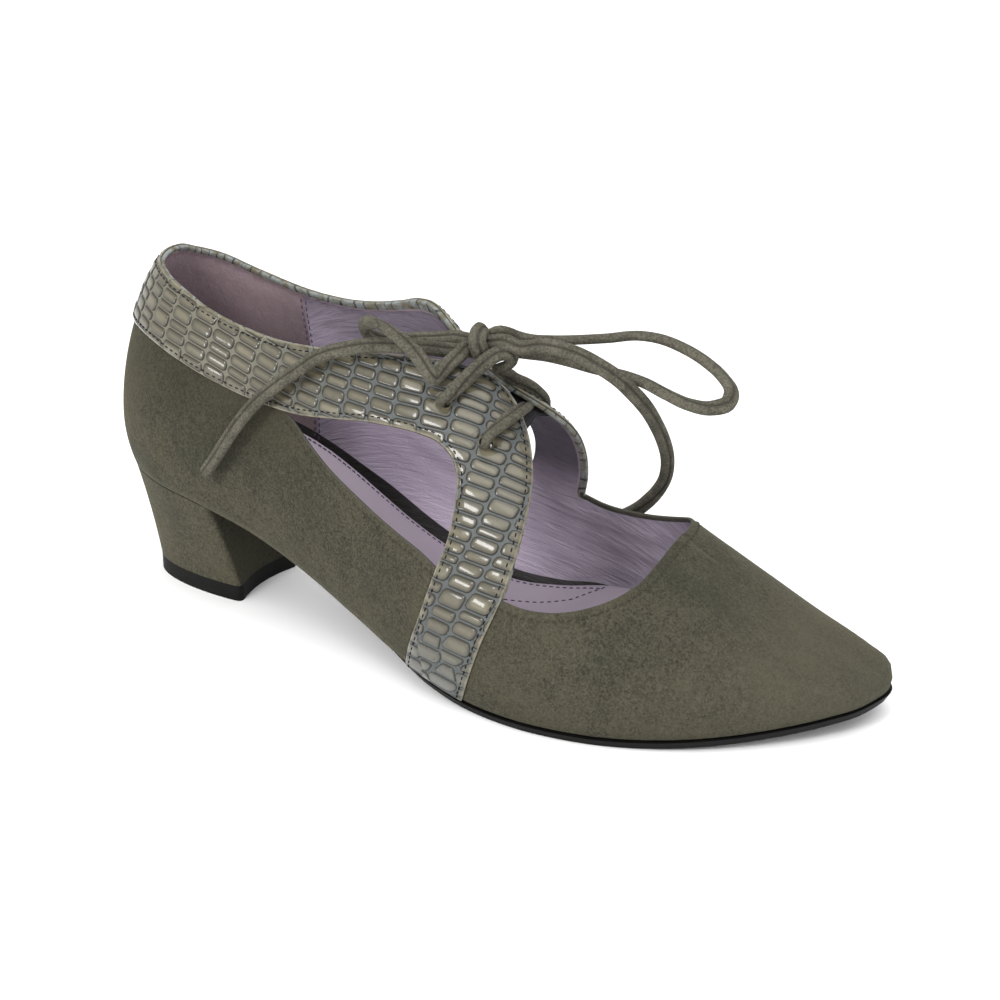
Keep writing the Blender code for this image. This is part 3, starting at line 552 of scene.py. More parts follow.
def even(points, spacing):
    """Points at even steps along a chain of straight pieces."""
    points = np.asarray(points, float)
    knots = run_along(points)
    at = even_steps(knots[-1], spacing)
    return np.column_stack([np.interp(at, knots, column) for column in points.T])


def inside(points, loop):
    """Which points lie inside a closed pattern loop."""
    x, y = points[:, 0], points[:, 1]
    crossings = np.zeros(len(points), bool)
    for (ax, ay), (bx, by) in zip(loop, np.roll(loop, -1, axis=0)):
        if ay == by:
            continue
        straddles = (ay > y) != (by > y)
        crossings ^= straddles & (x < (bx - ax) * (y - ay) / (by - ay) + ax)
    return crossings


def nearest_on(points, chain):
    """Distance from each point to a chain of straight pieces, and how far along the chain that is."""
    start, span = chain[:-1], np.diff(chain, axis=0)
    length = np.maximum(np.linalg.norm(span, axis=1), LEAST_PIECE)
    begun = np.concatenate([[0], np.cumsum(length)[:-1]])
    gaps, runs = [], []
    for block in np.array_split(points, len(points) // NEAREST_BLOCK + 1):
        offset = block[:, None, :] - start[None, :, :]
        along = np.clip((offset * span[None]).sum(axis=2) / length[None] ** 2, 0, 1)
        gap = np.linalg.norm(offset - along[:, :, None] * span[None], axis=2)
        row, piece = np.arange(len(block)), gap.argmin(axis=1)
        gaps.append(gap[row, piece])
        runs.append(begun[piece] + along[row, piece] * length[piece])
    return np.concatenate(gaps), np.concatenate(runs)


def distance_to(points, chain):
    """Distance from each point to a chain of straight pieces."""
    return nearest_on(points, chain)[0]


def beside(chain, inset):
    """A pattern chain moved to its left."""
    direction = unit(np.gradient(chain, axis=0))
    return chain + np.reshape(inset, (-1, 1)) * np.column_stack([-direction[:, 1], direction[:, 0]])


def loop_of(*edges):
    """One closed loop from edges laid end to end."""
    return np.vstack([np.asarray(edge, float)[:-1] for edge in edges])


def closed(loop):
    """A loop as a chain that comes back to its start."""
    return np.vstack([loop, loop[:1]])


def grid_over(outer, spacing):
    """Staggered points over the box of a pattern loop."""
    low, high = outer.min(axis=0), outer.max(axis=0)
    row_step = spacing * math.sqrt(3) / 2
    columns = np.arange(low[0] + spacing / 2, high[0], spacing)
    levels = np.arange(low[1] + spacing / 2, high[1], row_step)
    return np.array([(x + spacing / 2 * (j % 2), y) for j, y in enumerate(levels) for x in columns])


def flat_panel(outer, holes, lines, filling, clearance):
    """Triangulates a pattern piece lying flat, with edges along its loops and its inner lines."""
    chains = [closed(loop) for loop in (outer, *holes)] + list(lines)
    edges = []
    start = 0
    for chain in chains:
        edges += [(i, i + 1) for i in range(start, start + len(chain) - 1)]
        start += len(chain)
    filling = filling[inside(filling, outer)]
    gap = np.min([distance_to(filling, chain) for chain in chains], axis=0)
    points = np.vstack([*chains, filling[gap > clearance]])
    result = delaunay_2d_cdt([Vector(p) for p in points], edges, [], INSIDE_FACES, PATTERN_WELD)
    flat = np.array([tuple(v) for v in result[0]])
    faces = np.array([tuple(face) for face in result[2]])
    middles = flat[faces].mean(axis=1)
    keep = inside(middles, outer)
    for hole in holes:
        keep &= ~inside(middles, hole)
    used, place = np.unique(faces[keep], return_inverse=True)
    return flat[used], place.reshape(-1, 3)


def round_hole(centre, radius):
    """A small punched hole in a pattern piece."""
    turns = np.arange(HOLE_SIDES) * 2 * math.pi / HOLE_SIDES
    return np.column_stack([centre[0] + radius * np.cos(turns), centre[1] + radius * np.sin(turns)])


def straight(start, end, spacing):
    """Evenly spaced points on a straight pattern edge."""
    return even((start, end), spacing)


def ridge_edge(side, start, end, spacing):
    """Pattern points along the ridge."""
    stations = np.linspace(start, end, int(abs(end - start) / spacing) + 2)
    return np.column_stack([stations, girths(side, stations)])


def band_edges(side, spacing):
    """The band's outline in order: heel, window, strap rear, sole, strap front, collar and back."""
    return (
        smooth(BAND_HEEL[side], spacing),
        smooth(WINDOW_TOP[side], spacing),
        smooth(STRAP_REAR[side], spacing),
        straight(STRAP_REAR[side][-1], STRAP_FRONT[side][0], spacing),
        smooth(STRAP_FRONT[side], spacing),
        smooth(COLLAR[side], spacing)[::-1],
        straight((0, COLLAR[side][0][1]), (0, BAND_HEEL[side][0][1]), spacing),
    )


def throat_edge(side, spacing):
    """The open edge of the vamp from the strap to the ridge."""
    end = (THROAT_STATION, girths(side, [THROAT_STATION])[0])
    return smooth((*THROAT[side], end), spacing)


def upper_pattern(side, spacing):
    """One half of the upper lying flat."""
    toe_end = (TOE_STATION, girths(side, [TOE_STATION])[0])
    outer = loop_of(
        straight((0, 0), (TOE_STATION, 0), spacing),
        straight((TOE_STATION, 0), toe_end, spacing),
        ridge_edge(side, TOE_STATION, THROAT_STATION, spacing),
        throat_edge(side, spacing)[::-1],
        smooth(COLLAR[side], spacing)[::-1],
        straight((0, COLLAR[side][0][1]), (0, 0), spacing),
    )
    window = loop_of(smooth(WINDOW_TOP[side], spacing), smooth(WINDOW_BOTTOM[side], spacing))
    holes = [window] + [round_hole(centre, HOLE_RADIUS) for centre in LACE_HOLES[side]]
    collar = smooth(COLLAR[side], spacing)
    turned = turned_width(collar[:, 0])
    inner_edges = [beside(collar, step - turned)[2:-2] for step in (-TURNED_STEP, TURNED_STEP)]
    return flat_panel(outer, holes, inner_edges, grid_over(outer, spacing), FILL_CLEARANCE * spacing)


def turned_width(station):
    """Width of the turned edge at these stations."""
    return along_table(TURNED_WIDTHS, station)


def centred(points):
    """Last coordinates in millimetres to the shoe's own frame in metres."""
    shift = np.array([*LAST_CENTRE, 0.0])
    return (np.asarray(points, float) - shift) * MM


def edge_line(side, stations, grow, drop):
    """The sole edge moved outward by "grow" and down by "drop"."""
    values = section_values(side, stations)
    outward = unit(values[:, 3:5] - values[:, 0:2])
    plan = values[:, 3:5] + outward * np.asarray(grow)[:, None]
    return np.column_stack([plan, values[:, 5] - drop])


def shuffled(*keys):
    """A steady number from 0 to 1 for whole-number keys."""
    total = sum(np.asarray(key, float) * weight for key, weight in zip(keys, SHUFFLE_WEIGHTS))
    value = np.sin(total) * SHUFFLE_SCALE
    return value - np.floor(value)


def ease(value, low, high):
    """A smooth step from 0 at low to 1 at high."""
    share = np.clip((np.asarray(value, float) - low) / (high - low), 0, 1)
    return share * share * (3 - 2 * share)


def welded(halves):
    """Joins pattern halves along their shared seam points."""
    points = np.vstack([half["points"] for half in halves])
    normals = np.vstack([half["normals"] for half in halves])
    inner = np.vstack([half["inner"] for half in halves])
    marks = {name: np.concatenate([half["marks"][name] for half in halves]) for name in halves[0]["marks"]}
    faces = []
    start = 0
    for half in halves:
        faces.append(half["faces"] + start)
        start += len(half["points"])
    faces = np.vstack(faces)
    keys = np.round((points + SEAM_SHIFT) / SEAM_WELD).astype(int)
    _, first, place = np.unique(keys, axis=0, return_index=True, return_inverse=True)
    place = place.reshape(-1)
    summed = np.zeros((len(first), 3))
    np.add.at(summed, place, normals)
    normals = unit(summed)
    return {
        "points": points[first],
        "normals": normals,
        "inner": inner[first],
        "faces": place[faces],
        "marks": {name: values[first] for name, values in marks.items()},
    }


def border_steps(faces):
    """Directed edges that belong to one face alone."""
    steps = np.concatenate([faces[:, [0, 1]], faces[:, [1, 2]], faces[:, [2, 0]]])
    _, place, count = np.unique(np.sort(steps, axis=1), axis=0, return_inverse=True, return_counts=True)
    return steps[count[place.reshape(-1)] == 1]


def leather_shell(skin, rim_bulge):
    """A closed leather piece: its outer face, its inner face and a rounded cut edge between them."""
    outer, inner, normals = skin["points"], skin["inner"], skin["normals"]
    faces = skin["faces"]
    count = len(outer)
    steps = border_steps(faces)
    sideways = np.zeros((count, 3))
    across = np.cross(outer[steps[:, 1]] - outer[steps[:, 0]], normals[steps[:, 0]])
    np.add.at(sideways, steps[:, 0], across)
    np.add.at(sideways, steps[:, 1], across)
    rim = np.unique(steps)
    sideways = unit(sideways[rim])
    levels = [np.arange(count)]
    points = [outer, inner]
    depths = [np.zeros(count), np.ones(count)]
    owners = [np.arange(count), np.arange(count)]
    start = 2 * count
    for step in range(1, RIM_STEPS):
        turn = math.pi * step / RIM_STEPS
        share = (1 - math.cos(turn)) / 2
        points.append(outer[rim] * (1 - share) + inner[rim] * share + sideways * rim_bulge * math.sin(turn))
        place = np.full(count, -1)
        place[rim] = np.arange(len(rim)) + start
        levels.append(place)
        depths.append(np.full(len(rim), share))
        owners.append(rim)
        start += len(rim)
    levels.append(np.arange(count) + count)
    pieces = [faces, faces[:, ::-1] + count]
    kinds = [np.zeros(len(faces), int), np.ones(len(faces), int)]
    for upper, lower in zip(levels[:-1], levels[1:]):
        a, b = steps[:, 0], steps[:, 1]
        pieces.append(np.column_stack([upper[b], upper[a], lower[a]]))
        pieces.append(np.column_stack([upper[b], lower[a], lower[b]]))
        kinds.append(np.full(2 * len(steps), 2))
    owners = np.concatenate(owners)
    marks = {name: values[owners] for name, values in skin["marks"].items()}
    marks["depth"] = np.concatenate(depths)
    return np.vstack(points), np.vstack(pieces), np.concatenate(kinds), marks


def column_bend(side, across, climb):
    """How far a scale column strays from its own place, wandering more near the sole."""
    level = along_table(COLUMN_LEAN, across) * (climb - LEAN_MIDDLE)
    down = ease(across, *STRAP_STATIONS)
    wild = WILD_WANDER * (1 - ease(climb, *WILD_UP))
    wander = COLUMN_WANDER * np.sin(climb / WANDER_LENGTH + side)
    wander = wander + wild * np.sin(climb / WILD_LENGTHS[0] + across / WILD_LENGTHS[1])
    return level * (1 - down) + along_table(STRAP_BEND, climb) * down - wander


def lattice_place(side, pattern):
    """Pattern points as places across the scale columns and along them."""
    station, up = pattern.T
    climb = up - along_curve(ROW_RISE, station)
    across = station
    for _ in range(BEND_ROUNDS):
        across = station - column_bend(side, across, climb)
    return across, along_table(ROW_STRETCH, climb)


def pattern_place(side, lattice):
    """Places across and along the scale columns as pattern points."""
    across, stretched = lattice.T
    climb = np.interp(stretched, *np.array(ROW_STRETCH, float).T[::-1])
    station = across + column_bend(side, across, climb)
    return np.column_stack([station, climb + along_curve(ROW_RISE, station)])


def row_line(side, column, row):
    """Where a row starts, counted in rows from the column's own start."""
    return row + ROW_UNEVEN * (shuffled(column + 31 * side, row, 3) - 0.5)


def column_start(side, column):
    """How far this column is slipped along its own length, in rows."""
    return shuffled(column, side, 7)


def scale_under(side, pattern):
    """Depth in the nearest scale (negative inside), height share, column and row."""
    across, climb = lattice_place(side, pattern)
    column = np.floor(across / COLUMN_PITCH)
    across = across - (column + 0.5) * COLUMN_PITCH
    climb = climb / ROW_PITCH + column_start(side, column)
    row = np.floor(climb)
    row = np.where(climb < row_line(side, column, row), row - 1, row)
    row = np.where(climb > row_line(side, column, row + 1), row + 1, row)
    low, high = row_line(side, column, row), row_line(side, column, row + 1)
    along = (climb - (low + high) / 2) * ROW_PITCH
    half = np.column_stack([
        np.full(len(pattern), (COLUMN_PITCH - COLUMN_GROOVE) / 2),
        (high - low) * ROW_PITCH / 2 - ROW_GROOVE / 2,
    ])
    corner = np.minimum(CORNER_ROUND, half[:, 1] * CORNER_SHARE)
    past = np.abs(np.column_stack([across, along])) - half + corner[:, None]
    depth = np.linalg.norm(np.maximum(past, 0), axis=1) + np.minimum(past.max(axis=1), 0) - corner
    return depth, along / half[:, 1], column, row


def rounded_ring(half_wide, half_tall, corner, spacing):
    """Points round a rounded rectangle."""
    turns = np.linspace(0, 2 * math.pi, RING_TURNS, endpoint=False)
    spokes = np.column_stack([np.cos(turns), np.sin(turns)])
    heart = np.sign(spokes) * (half_wide - corner, half_tall - corner)
    ring = heart + corner * spokes
    return even(closed(ring), spacing)[:-1]


def scale_points(side):
    """Pattern points that follow every scale's outline, shoulders and grooves."""
    rows_of_points = []
    for column in SCALE_COLUMNS:
        start = float(column_start(side, column))
        middle = (column + 0.5) * COLUMN_PITCH
        places = []
        for row in SCALE_ROWS:
            low, high = float(row_line(side, column, row)), float(row_line(side, column, row + 1))
            half_wide = (COLUMN_PITCH - COLUMN_GROOVE) / 2
            half_tall = (high - low) * ROW_PITCH / 2 - ROW_GROOVE / 2
            corner = min(CORNER_ROUND, half_tall * CORNER_SHARE)
            centre = np.array([middle, ((low + high) / 2 - start) * ROW_PITCH])
            for shrink in SCALE_RINGS:
                if half_tall - shrink < LEAST_HALF_SCALE:
                    continue
                rounding = max(corner - shrink, LEAST_CORNER)
                ring = rounded_ring(half_wide - shrink, half_tall - shrink, rounding, RING_SPACING)
                places.append(ring + centre)
            run = half_wide - SCALE_RINGS[-1] - SPINE_INSET
            spine = np.linspace(-run, run, SPINE_POINTS)
            places.append(np.column_stack([spine, np.zeros(SPINE_POINTS)]) + centre)
            seam = np.linspace(-half_wide + SEAM_INSET, half_wide - SEAM_INSET, SEAM_POINTS)
            places.append(np.column_stack([middle + seam, np.full(SEAM_POINTS, (low - start) * ROW_PITCH)]))
        climb = np.arange(*GROOVE_CLIMB, RING_SPACING)
        places.append(np.column_stack([np.full(len(climb), middle - COLUMN_PITCH / 2), climb]))
        rows_of_points += places
    points = pattern_place(side, np.vstack(rows_of_points))
    return points[(points[:, 0] > 0) & (points[:, 1] > 0)]


def band_half(side, lift, thickness, relief):
    """One half of the band lying on the upper, embossed with scales."""
    edges = band_edges(side, BAND_SPACING)
    outer = loop_of(*edges)
    holes = [round_hole(centre, HOLE_RADIUS) for centre in LACE_HOLES[side]]
    flat, faces = flat_panel(outer, holes, [], scale_points(side), BAND_CLEARANCE)
    depth, rise, column, row = scale_under(side, flat)
    open_edges = [*edges[:6], *(closed(hole) for hole in holes)]
    margin = np.min([distance_to(flat, chain) for chain in open_edges], axis=0)
    shoulder = np.clip(-depth / SCALE_SHOULDER, 0, 1)
    puff = np.sqrt(np.maximum(1 - (1 - shoulder) ** 2, 0))
    settled = EDGE_RELIEF + (1 - EDGE_RELIEF) * ease(margin, *SETTLE_MARGIN)
    pressed = EDGE_PRESSED * (1 - ease(margin, *PRESSED_MARGIN))
    uneven = UNEVEN_RELIEF[0] + UNEVEN_RELIEF[1] * shuffled(column + 11 * side, row, 5)
    height = lift + thickness + relief * puff * uneven * settled - pressed
    if side == MEDIAL:
        faces = faces[:, ::-1]
    base = on_last(side, flat)
    normals = outward_normals(side, flat)
    return {
        "points": base + normals * height[:, None],
        "normals": normals,
        "inner": base + normals * lift,
        "faces": faces,
        "marks": {
            "scale_depth": depth,
            "scale_rise": rise,
            "scale_tone": shuffled(column + 17 * side, row, 1),
            "margin": margin,
            "station": flat[:, 0],
            "up": flat[:, 1],
        },
    }


def cut_edges(side, spacing):
    """The upper's open edges: collar, throat, window and lace holes."""
    chains = [smooth(COLLAR[side], spacing), throat_edge(side, spacing)]
    chains += [smooth(table[side], spacing) for table in (WINDOW_TOP, WINDOW_BOTTOM)]
    return chains + [closed(round_hole(centre, HOLE_RADIUS)) for centre in LACE_HOLES[side]]


def wall_at(side, flat, thickness):
    """Thickness of the upper with its lining, thinned towards the cut edges."""
    margin = np.min([distance_to(flat, chain) for chain in cut_edges(side, MARK_SPACING)], axis=0)
    return EDGE_THICKNESS + (thickness - EDGE_THICKNESS) * ease(margin, 0, SKIVE_WIDTH)


def upper_half(side, spacing, thickness):
    """One half of the upper, with soft creases on the vamp and in the lining."""
    flat, faces = upper_pattern(side, spacing)
    if side == MEDIAL:
        faces = faces[:, ::-1]
    base = on_last(side, flat)
    normals = outward_normals(side, flat)
    crease = sum(trough(flat, *line) for line in VAMP_CREASES[side])
    fold = sum(trough(flat, *line) for line in LINING_FOLDS[side])
    strip_top = along_curve(STRIP_TOP, flat[:, 0])
    from_collar, collar_run = nearest_on(flat, smooth(COLLAR[side], MARK_SPACING))
    past_turned = from_collar - turned_width(flat[:, 0])
    turned = TURNED_RISE * (1 - ease(past_turned, -TURNED_STEP, TURNED_STEP))
    suede_edges = (throat_edge(side, MARK_SPACING), smooth(WINDOW_BOTTOM[side], MARK_SPACING))
    return {
        "points": base + normals * np.reshape(crease, (-1, 1)),
        "normals": normals,
        "inner": base - normals * np.reshape(wall_at(side, flat, thickness) + fold + turned, (-1, 1)),
        "faces": faces,
        "marks": {
            "station": flat[:, 0],
            "up": flat[:, 1],
            "above_strip": flat[:, 1] - strip_top,
            "from_collar": from_collar,
            "collar_run": collar_run,
            "past_turned": past_turned,
            "past_suede": np.min([distance_to(flat, chain) for chain in suede_edges], axis=0) - TURNED_SUEDE,
        },
    }


def trough(flat, start, end, height, half_width):
    """Height of a soft trough or ridge that fades out at both ends."""
    start, end = np.array(start, float), np.array(end, float)
    span = end - start
    along = ((flat - start) @ span) / (span @ span)
    off = np.linalg.norm(flat - start - np.clip(along, 0, 1)[:, None] * span, axis=1)
    return height * np.exp(-((off / half_width) ** 2))


class Value:
    """One output of a finish's nodes. Arithmetic on it adds Math nodes."""

    def __init__(self, finish, socket):
        self.finish = finish
        self.socket = socket

    def math(self, operation, first, second):
        return self.finish.node("ShaderNodeMath", {"operation": operation}, {0: first, 1: second})

    def __add__(self, other):
        return self.math("ADD", self, other)

    def __radd__(self, other):
        return self.math("ADD", other, self)

    def __sub__(self, other):
        return self.math("SUBTRACT", self, other)

    def __rsub__(self, other):
        return self.math("SUBTRACT", other, self)

    def __mul__(self, other):
        return self.math("MULTIPLY", self, other)

    def __rmul__(self, other):
        return self.math("MULTIPLY", other, self)

    def __truediv__(self, other):
        return self.math("DIVIDE", self, other)

    def fraction(self):
        return self.math("FRACT", self, 0.0)

    def size(self):
        return self.math("ABSOLUTE", self, 0.0)


class Finish:
    """A material made of nodes, with one Principled shader."""

    def __init__(self, name):
        self.material = bpy.data.materials.new(name)
        self.material.use_nodes = True
        self.tree = self.material.node_tree
        self.shader = self.tree.nodes["Principled BSDF"]

    def feed(self, socket, value):
        if isinstance(value, Value):
            self.tree.links.new(value.socket, socket)
        elif socket.type == "RGBA" and len(value) == 3:
            socket.default_value = (*value, 1)
        else:
            socket.default_value = value

    def node(self, kind, settings, sockets, output=0):
        made = self.tree.nodes.new(kind)
        for name, value in settings.items():
            setattr(made, name, value)
        for name, value in sockets.items():
            self.feed(made.inputs[name], value)
        return Value(self, made.outputs[output])

    def mark(self, name):
        return self.node("ShaderNodeAttribute", {"attribute_name": name}, {}, "Fac")

    def place(self, stretch=(1, 1, 1)):
        where = self.node("ShaderNodeTexCoord", {}, {}, "Object")
        return self.node("ShaderNodeVectorMath", {"operation": "MULTIPLY"}, {0: where, 1: stretch})

    def point(self, x, y, z=0.0):
        return self.node("ShaderNodeCombineXYZ", {}, {0: x, 1: y, 2: z})

    def noise(self, where, scale, detail=3.0, roughness=0.55, distortion=0.0):
        sockets = {"Vector": where, "Scale": scale, "Detail": detail, "Roughness": roughness,
                   "Distortion": distortion}
        return self.node("ShaderNodeTexNoise", {}, sockets)

    def ease(self, value, low, high):
        settings = {"interpolation_type": "SMOOTHSTEP"}
        return self.node("ShaderNodeMapRange", settings, {"Value": value, "From Min": low, "From Max": high})

    def blend(self, share, first, second):
        return self.node("ShaderNodeMix", {"data_type": "RGBA"}, {0: share, 6: first, 7: second}, 2)

    def bump(self, height, distance, strength=1.0):
        return self.node("ShaderNodeBump", {}, {"Height": height, "Distance": distance, "Strength": strength})

    def surface(self, **sockets):
        for name, value in sockets.items():
            self.feed(self.shader.inputs[name.replace("_", " ").title().replace("Ior", "IOR")], value)
        return self.material


def shade(colour, factor):
    """A colour made lighter or darker."""
    return tuple(min(1.0, channel * factor) for channel in colour)


def suede_finish(name, colour):
    """Napped suede: faint patches, soft mottling, nap and fine fuzzy grain, painted shade under the band and
    on the heel breast, painted light on the toe.
    """
    suede = Finish(name)
    where = suede.place()
    patches = suede.noise(where, 34, 2, 0.5, 0.4)
    mottle = suede.noise(where, 140, 3, 0.6, 0.5)
    nap = suede.noise(suede.place((1, 1, 0.7)), 800, 3, 0.65, 0.6)
    grain = suede.noise(where, 1600, 3, 0.75)
    tone = patches * 0.18 + mottle * 0.08 + nap * 0.24 + grain * 0.5
    body = suede.blend(suede.ease(tone, 0.35, 0.65), shade(colour, 0.42), shade(colour, 1.58))
    warm = (colour[0] * 1.1, colour[1], colour[2] * 0.86)
    cool = (colour[0] * 0.93, colour[1] * 1.02, colour[2] * 1.14)
    body = suede.blend(suede.ease(patches, 0.5, 0.7) * 0.25, body, warm)
    body = suede.blend((1 - suede.ease(patches, 0.32, 0.5)) * 0.25, body, cool)
    station, up = suede.mark("station"), suede.mark("up")
    # Darker on the quarter below the band: partly nap, partly painted shade under the band.
    nap_and_shade_under_band = suede.ease(up + mottle * 12, *NAP_AND_SHADE_UP) * (1 - suede.ease(station, *NAP_AND_SHADE_STATIONS))
    # Painted shade: the heel's breast is darkened through its breast mark.
    body = suede.blend(suede.mark("breast") * 0.55, body, shade(colour, 0.25))
    body = suede.blend(nap_and_shade_under_band * 0.45, body, shade(colour, 0.4))
    # Painted light: the suede is made lighter towards the toe.
    painted_toe_light = suede.ease(station + mottle * 20, *TOE_LIGHT_STATIONS)
    body = suede.blend(painted_toe_light * 0.35, body, shade(colour, 1.7))
    height = grain * 0.65 + nap * 0.35
    return suede.surface(base_color=body, roughness=1.0, normal=suede.bump(height, 0.0004, 0.8),
                         sheen_weight=0.3, sheen_roughness=0.4, sheen_tint=(*shade(colour, 6), 1),
                         specular_ior_level=0.1)


def reptile_finish(colours):
    """Glossy scales, light in the middle and dark round the edge as painted shade, with grey grooves and a
    worn rim.
    """
    reptile = Finish("reptile grain leather")
    depth, rise = reptile.mark("scale_depth"), reptile.mark("scale_rise")
    tone, margin, back = reptile.mark("scale_tone"), reptile.mark("margin"), reptile.mark("depth")
    station, up = reptile.mark("station"), reptile.mark("up")
    where = reptile.place()
    fine = reptile.noise(where, 900, 3)
    cloud = reptile.noise(where, 190, 3)
    middle = reptile.blend(tone * 0.6 + cloud * 0.4, shade(colours.scale, 0.85), shade(colours.scale, 1.75))
    # Painted shade: each scale darkens from its middle to its edge, so the middle reads as lit.
    body = reptile.blend(reptile.ease(depth + fine * 0.4, -1.4, 0.1), middle, shade(colours.scale, 0.5))
    body = reptile.blend(reptile.ease(fine, 0.55, 0.75) * 0.3, body, shade(colours.scale, 0.6))
    groove = reptile.blend(fine, shade(colours.groove, 0.7), shade(colours.groove, 1.3))
    pale = 1 - reptile.ease(station, *PALE_GROOVE_STATIONS)
    groove = reptile.blend(pale * 0.6, groove, shade(colours.scale, 1.9))
    body = reptile.blend((1 - reptile.ease(up, *GREY_STRAP_UP)) * 0.5, body, groove)
    body = reptile.blend(reptile.ease(depth, -0.12, 0.08), body, groove)
    # Dark outline round each scale as its joint; the extra darkness on its lower side is a painted shadow.
    outline = reptile.ease(depth, -0.36, -0.18) * (1 - reptile.ease(depth, -0.02, 0.1))
    painted_underside_shadow = 1 - reptile.ease(rise, -0.5, 0.6)
    body = reptile.blend(outline * (0.6 + painted_underside_shadow * 0.38), body, shade(colours.scale, 0.1))
    worn = (1 - reptile.ease(margin + fine * 0.8, 0.5, 0.95)) * 0.4
    body = reptile.blend(worn, body, shade(colours.scale, 3.2))
    body = reptile.blend(reptile.ease(back, 0.15, 0.6), body, shade(colours.scale, 1.2))
    on_scale = 1 - reptile.ease(depth, -0.35, -0.05)
    height = cloud * 0.6 + fine * 0.4
    return reptile.surface(base_color=body, roughness=0.5 - on_scale * 0.22 + cloud * 0.08,
                           coat_weight=on_scale * 0.65, coat_roughness=0.09,
                           normal=reptile.bump(height, 0.0003, 0.5), specular_ior_level=0.25)


def turned_leather(finish, colours):
    """Colour of the band leather where it turns over the collar: worn grey scales with dark cracks."""
    where = finish.place()
    cell = (finish.mark("collar_run") / TURNED_SCALE + finish.noise(where, 70, 2) * 2.5).fraction()
    crack = finish.ease((cell - 0.5).size(), 0.38, 0.47)
    mottle = finish.ease(finish.noise(where, 420, 3, 0.6), 0.35, 0.65)
    worn = finish.blend(mottle, shade(colours.scale, 1.5), shade(colours.groove, 2.7))
    broken = finish.ease(finish.noise(where, 160, 2), 0.35, 0.5)
    return finish.blend(crack * broken, worn, shade(colours.groove, 0.35))


def lining_finish(colours):
    """Fine wrinkled lining, a napped heel grip behind a seam, a dark strip low down and a turned edge, with
    painted light and shade.
    """
    lining = Finish("lavender lining")
    station, up = lining.mark("station"), lining.mark("up")
    above_strip, past_turned = lining.mark("above_strip"), lining.mark("past_turned")
    past_suede = lining.mark("past_suede")
    where = lining.place()
    off = station - WRINKLE_MIDDLE
    bowed = up + WRINKLE_BOW * off * off
    wrinkle = lining.noise(lining.point(station * 0.1, bowed * 0.75), 1.0, 4, 0.6, 0.5)
    pores = lining.noise(where, 1300, 2)
    cloud = lining.noise(where, 45, 3)
    # Partly painted light and shade along the wrinkles, partly the lining's own uneven tone from the cloud.
    tone = wrinkle * 0.5 + cloud * 0.5
    body = lining.blend(lining.ease(tone, 0.35, 0.66), shade(colours.lining, 0.78),
                        shade(colours.lining, 1.18))
    past_window = lining.ease(station, *WINDOW_REAR_STATIONS)
    in_window = past_window * (1 - lining.ease(station, *WINDOW_FRONT_STATIONS))
    painted_window_light = in_window * (1 - lining.ease(up, *PAINTED_WINDOW_LIGHT_UP))
    # Painted light: the lining low in the window is lightened as if lit through it.
    body = lining.blend(painted_window_light * 0.9, body, shade(colours.lining, 2.0))
    body = lining.blend(lining.ease(up, *COLLAR_SHADE_UP) * 0.75, body, shade(colours.lining, 0.4))
    strap_shade = lining.ease(station, *STRAP_SHADE_STATIONS) * lining.ease(up, *STRAP_SHADE_UP)
    body = lining.blend(strap_shade * 0.95, body, shade(colours.lining, 0.22))
    grip_nap = lining.noise(lining.place((1, 1, 0.5)), 420, 3, 0.65, 1.0)
    grip = lining.blend(grip_nap * 0.6 + cloud * 0.4, shade(colours.heel_grip, 0.7),
                        shade(colours.heel_grip, 1.3))
    # Painted shade: a dark band across the heel grip, deepest about 32 mm up.
    dark = lining.ease(up, *GRIP_SHADE_FROM_UP) * (1 - lining.ease(up, *GRIP_SHADE_TO_UP))
    grip = lining.blend(dark * 0.8, grip, shade(colours.heel_grip, 0.32))
    # Painted highlight: a lighter streak down the middle of the heel grip.
    grip_highlight = lining.ease(station, *GRIP_HIGHLIGHT_FROM_STATIONS)
    grip_highlight = grip_highlight * (1 - lining.ease(station, *GRIP_HIGHLIGHT_TO_STATIONS))
    grip = lining.blend(grip_highlight * 0.25, grip, shade(colours.heel_grip, 1.5))
    on_grip = 1 - lining.ease(station, GRIP_SEAM - 0.3, GRIP_SEAM + 0.3)
    body = lining.blend(on_grip, body, grip)
    strip = 1 - lining.ease(above_strip, -0.15, 0.15)
    body = lining.blend(strip, body, colours.strip)
    lip = 1 - lining.ease(past_turned, 0.3, 0.7)
    body = lining.blend(lip * 0.6, body, shade(colours.heel_grip, 1.7))
    turned = 1 - lining.ease(past_turned, -0.1, 0.1)
    body = lining.blend(turned, body, turned_leather(lining, colours))
    body = lining.blend(1 - lining.ease(past_suede + pores * 0.2, -0.1, 0.2), body, shade(colours.suede, 0.8))
    height = wrinkle * (1 - on_grip) * 0.8 + pores * 0.2 + on_grip * grip_nap * 0.4 - turned * 0.5
    return lining.surface(base_color=body, roughness=0.55 + on_grip * 0.4,
                          normal=lining.bump(height, 0.0009, 0.8), specular_ior_level=0.35)


def cut_edge_finish(colours):
    """Edge of the upper: band leather round the collar, suede elsewhere."""
    edge = Finish("cut edge")
    fuzz = edge.noise(edge.place(), 1100, 2)
    body = edge.blend(fuzz, shade(colours.suede, 0.6), shade(colours.suede, 1.5))
    body = edge.blend(1 - edge.ease(edge.mark("from_collar"), 0.2, 0.6), body, turned_leather(edge, colours))
    return edge.surface(base_color=body, roughness=0.9, normal=edge.bump(fuzz, 0.0003, 0.6))


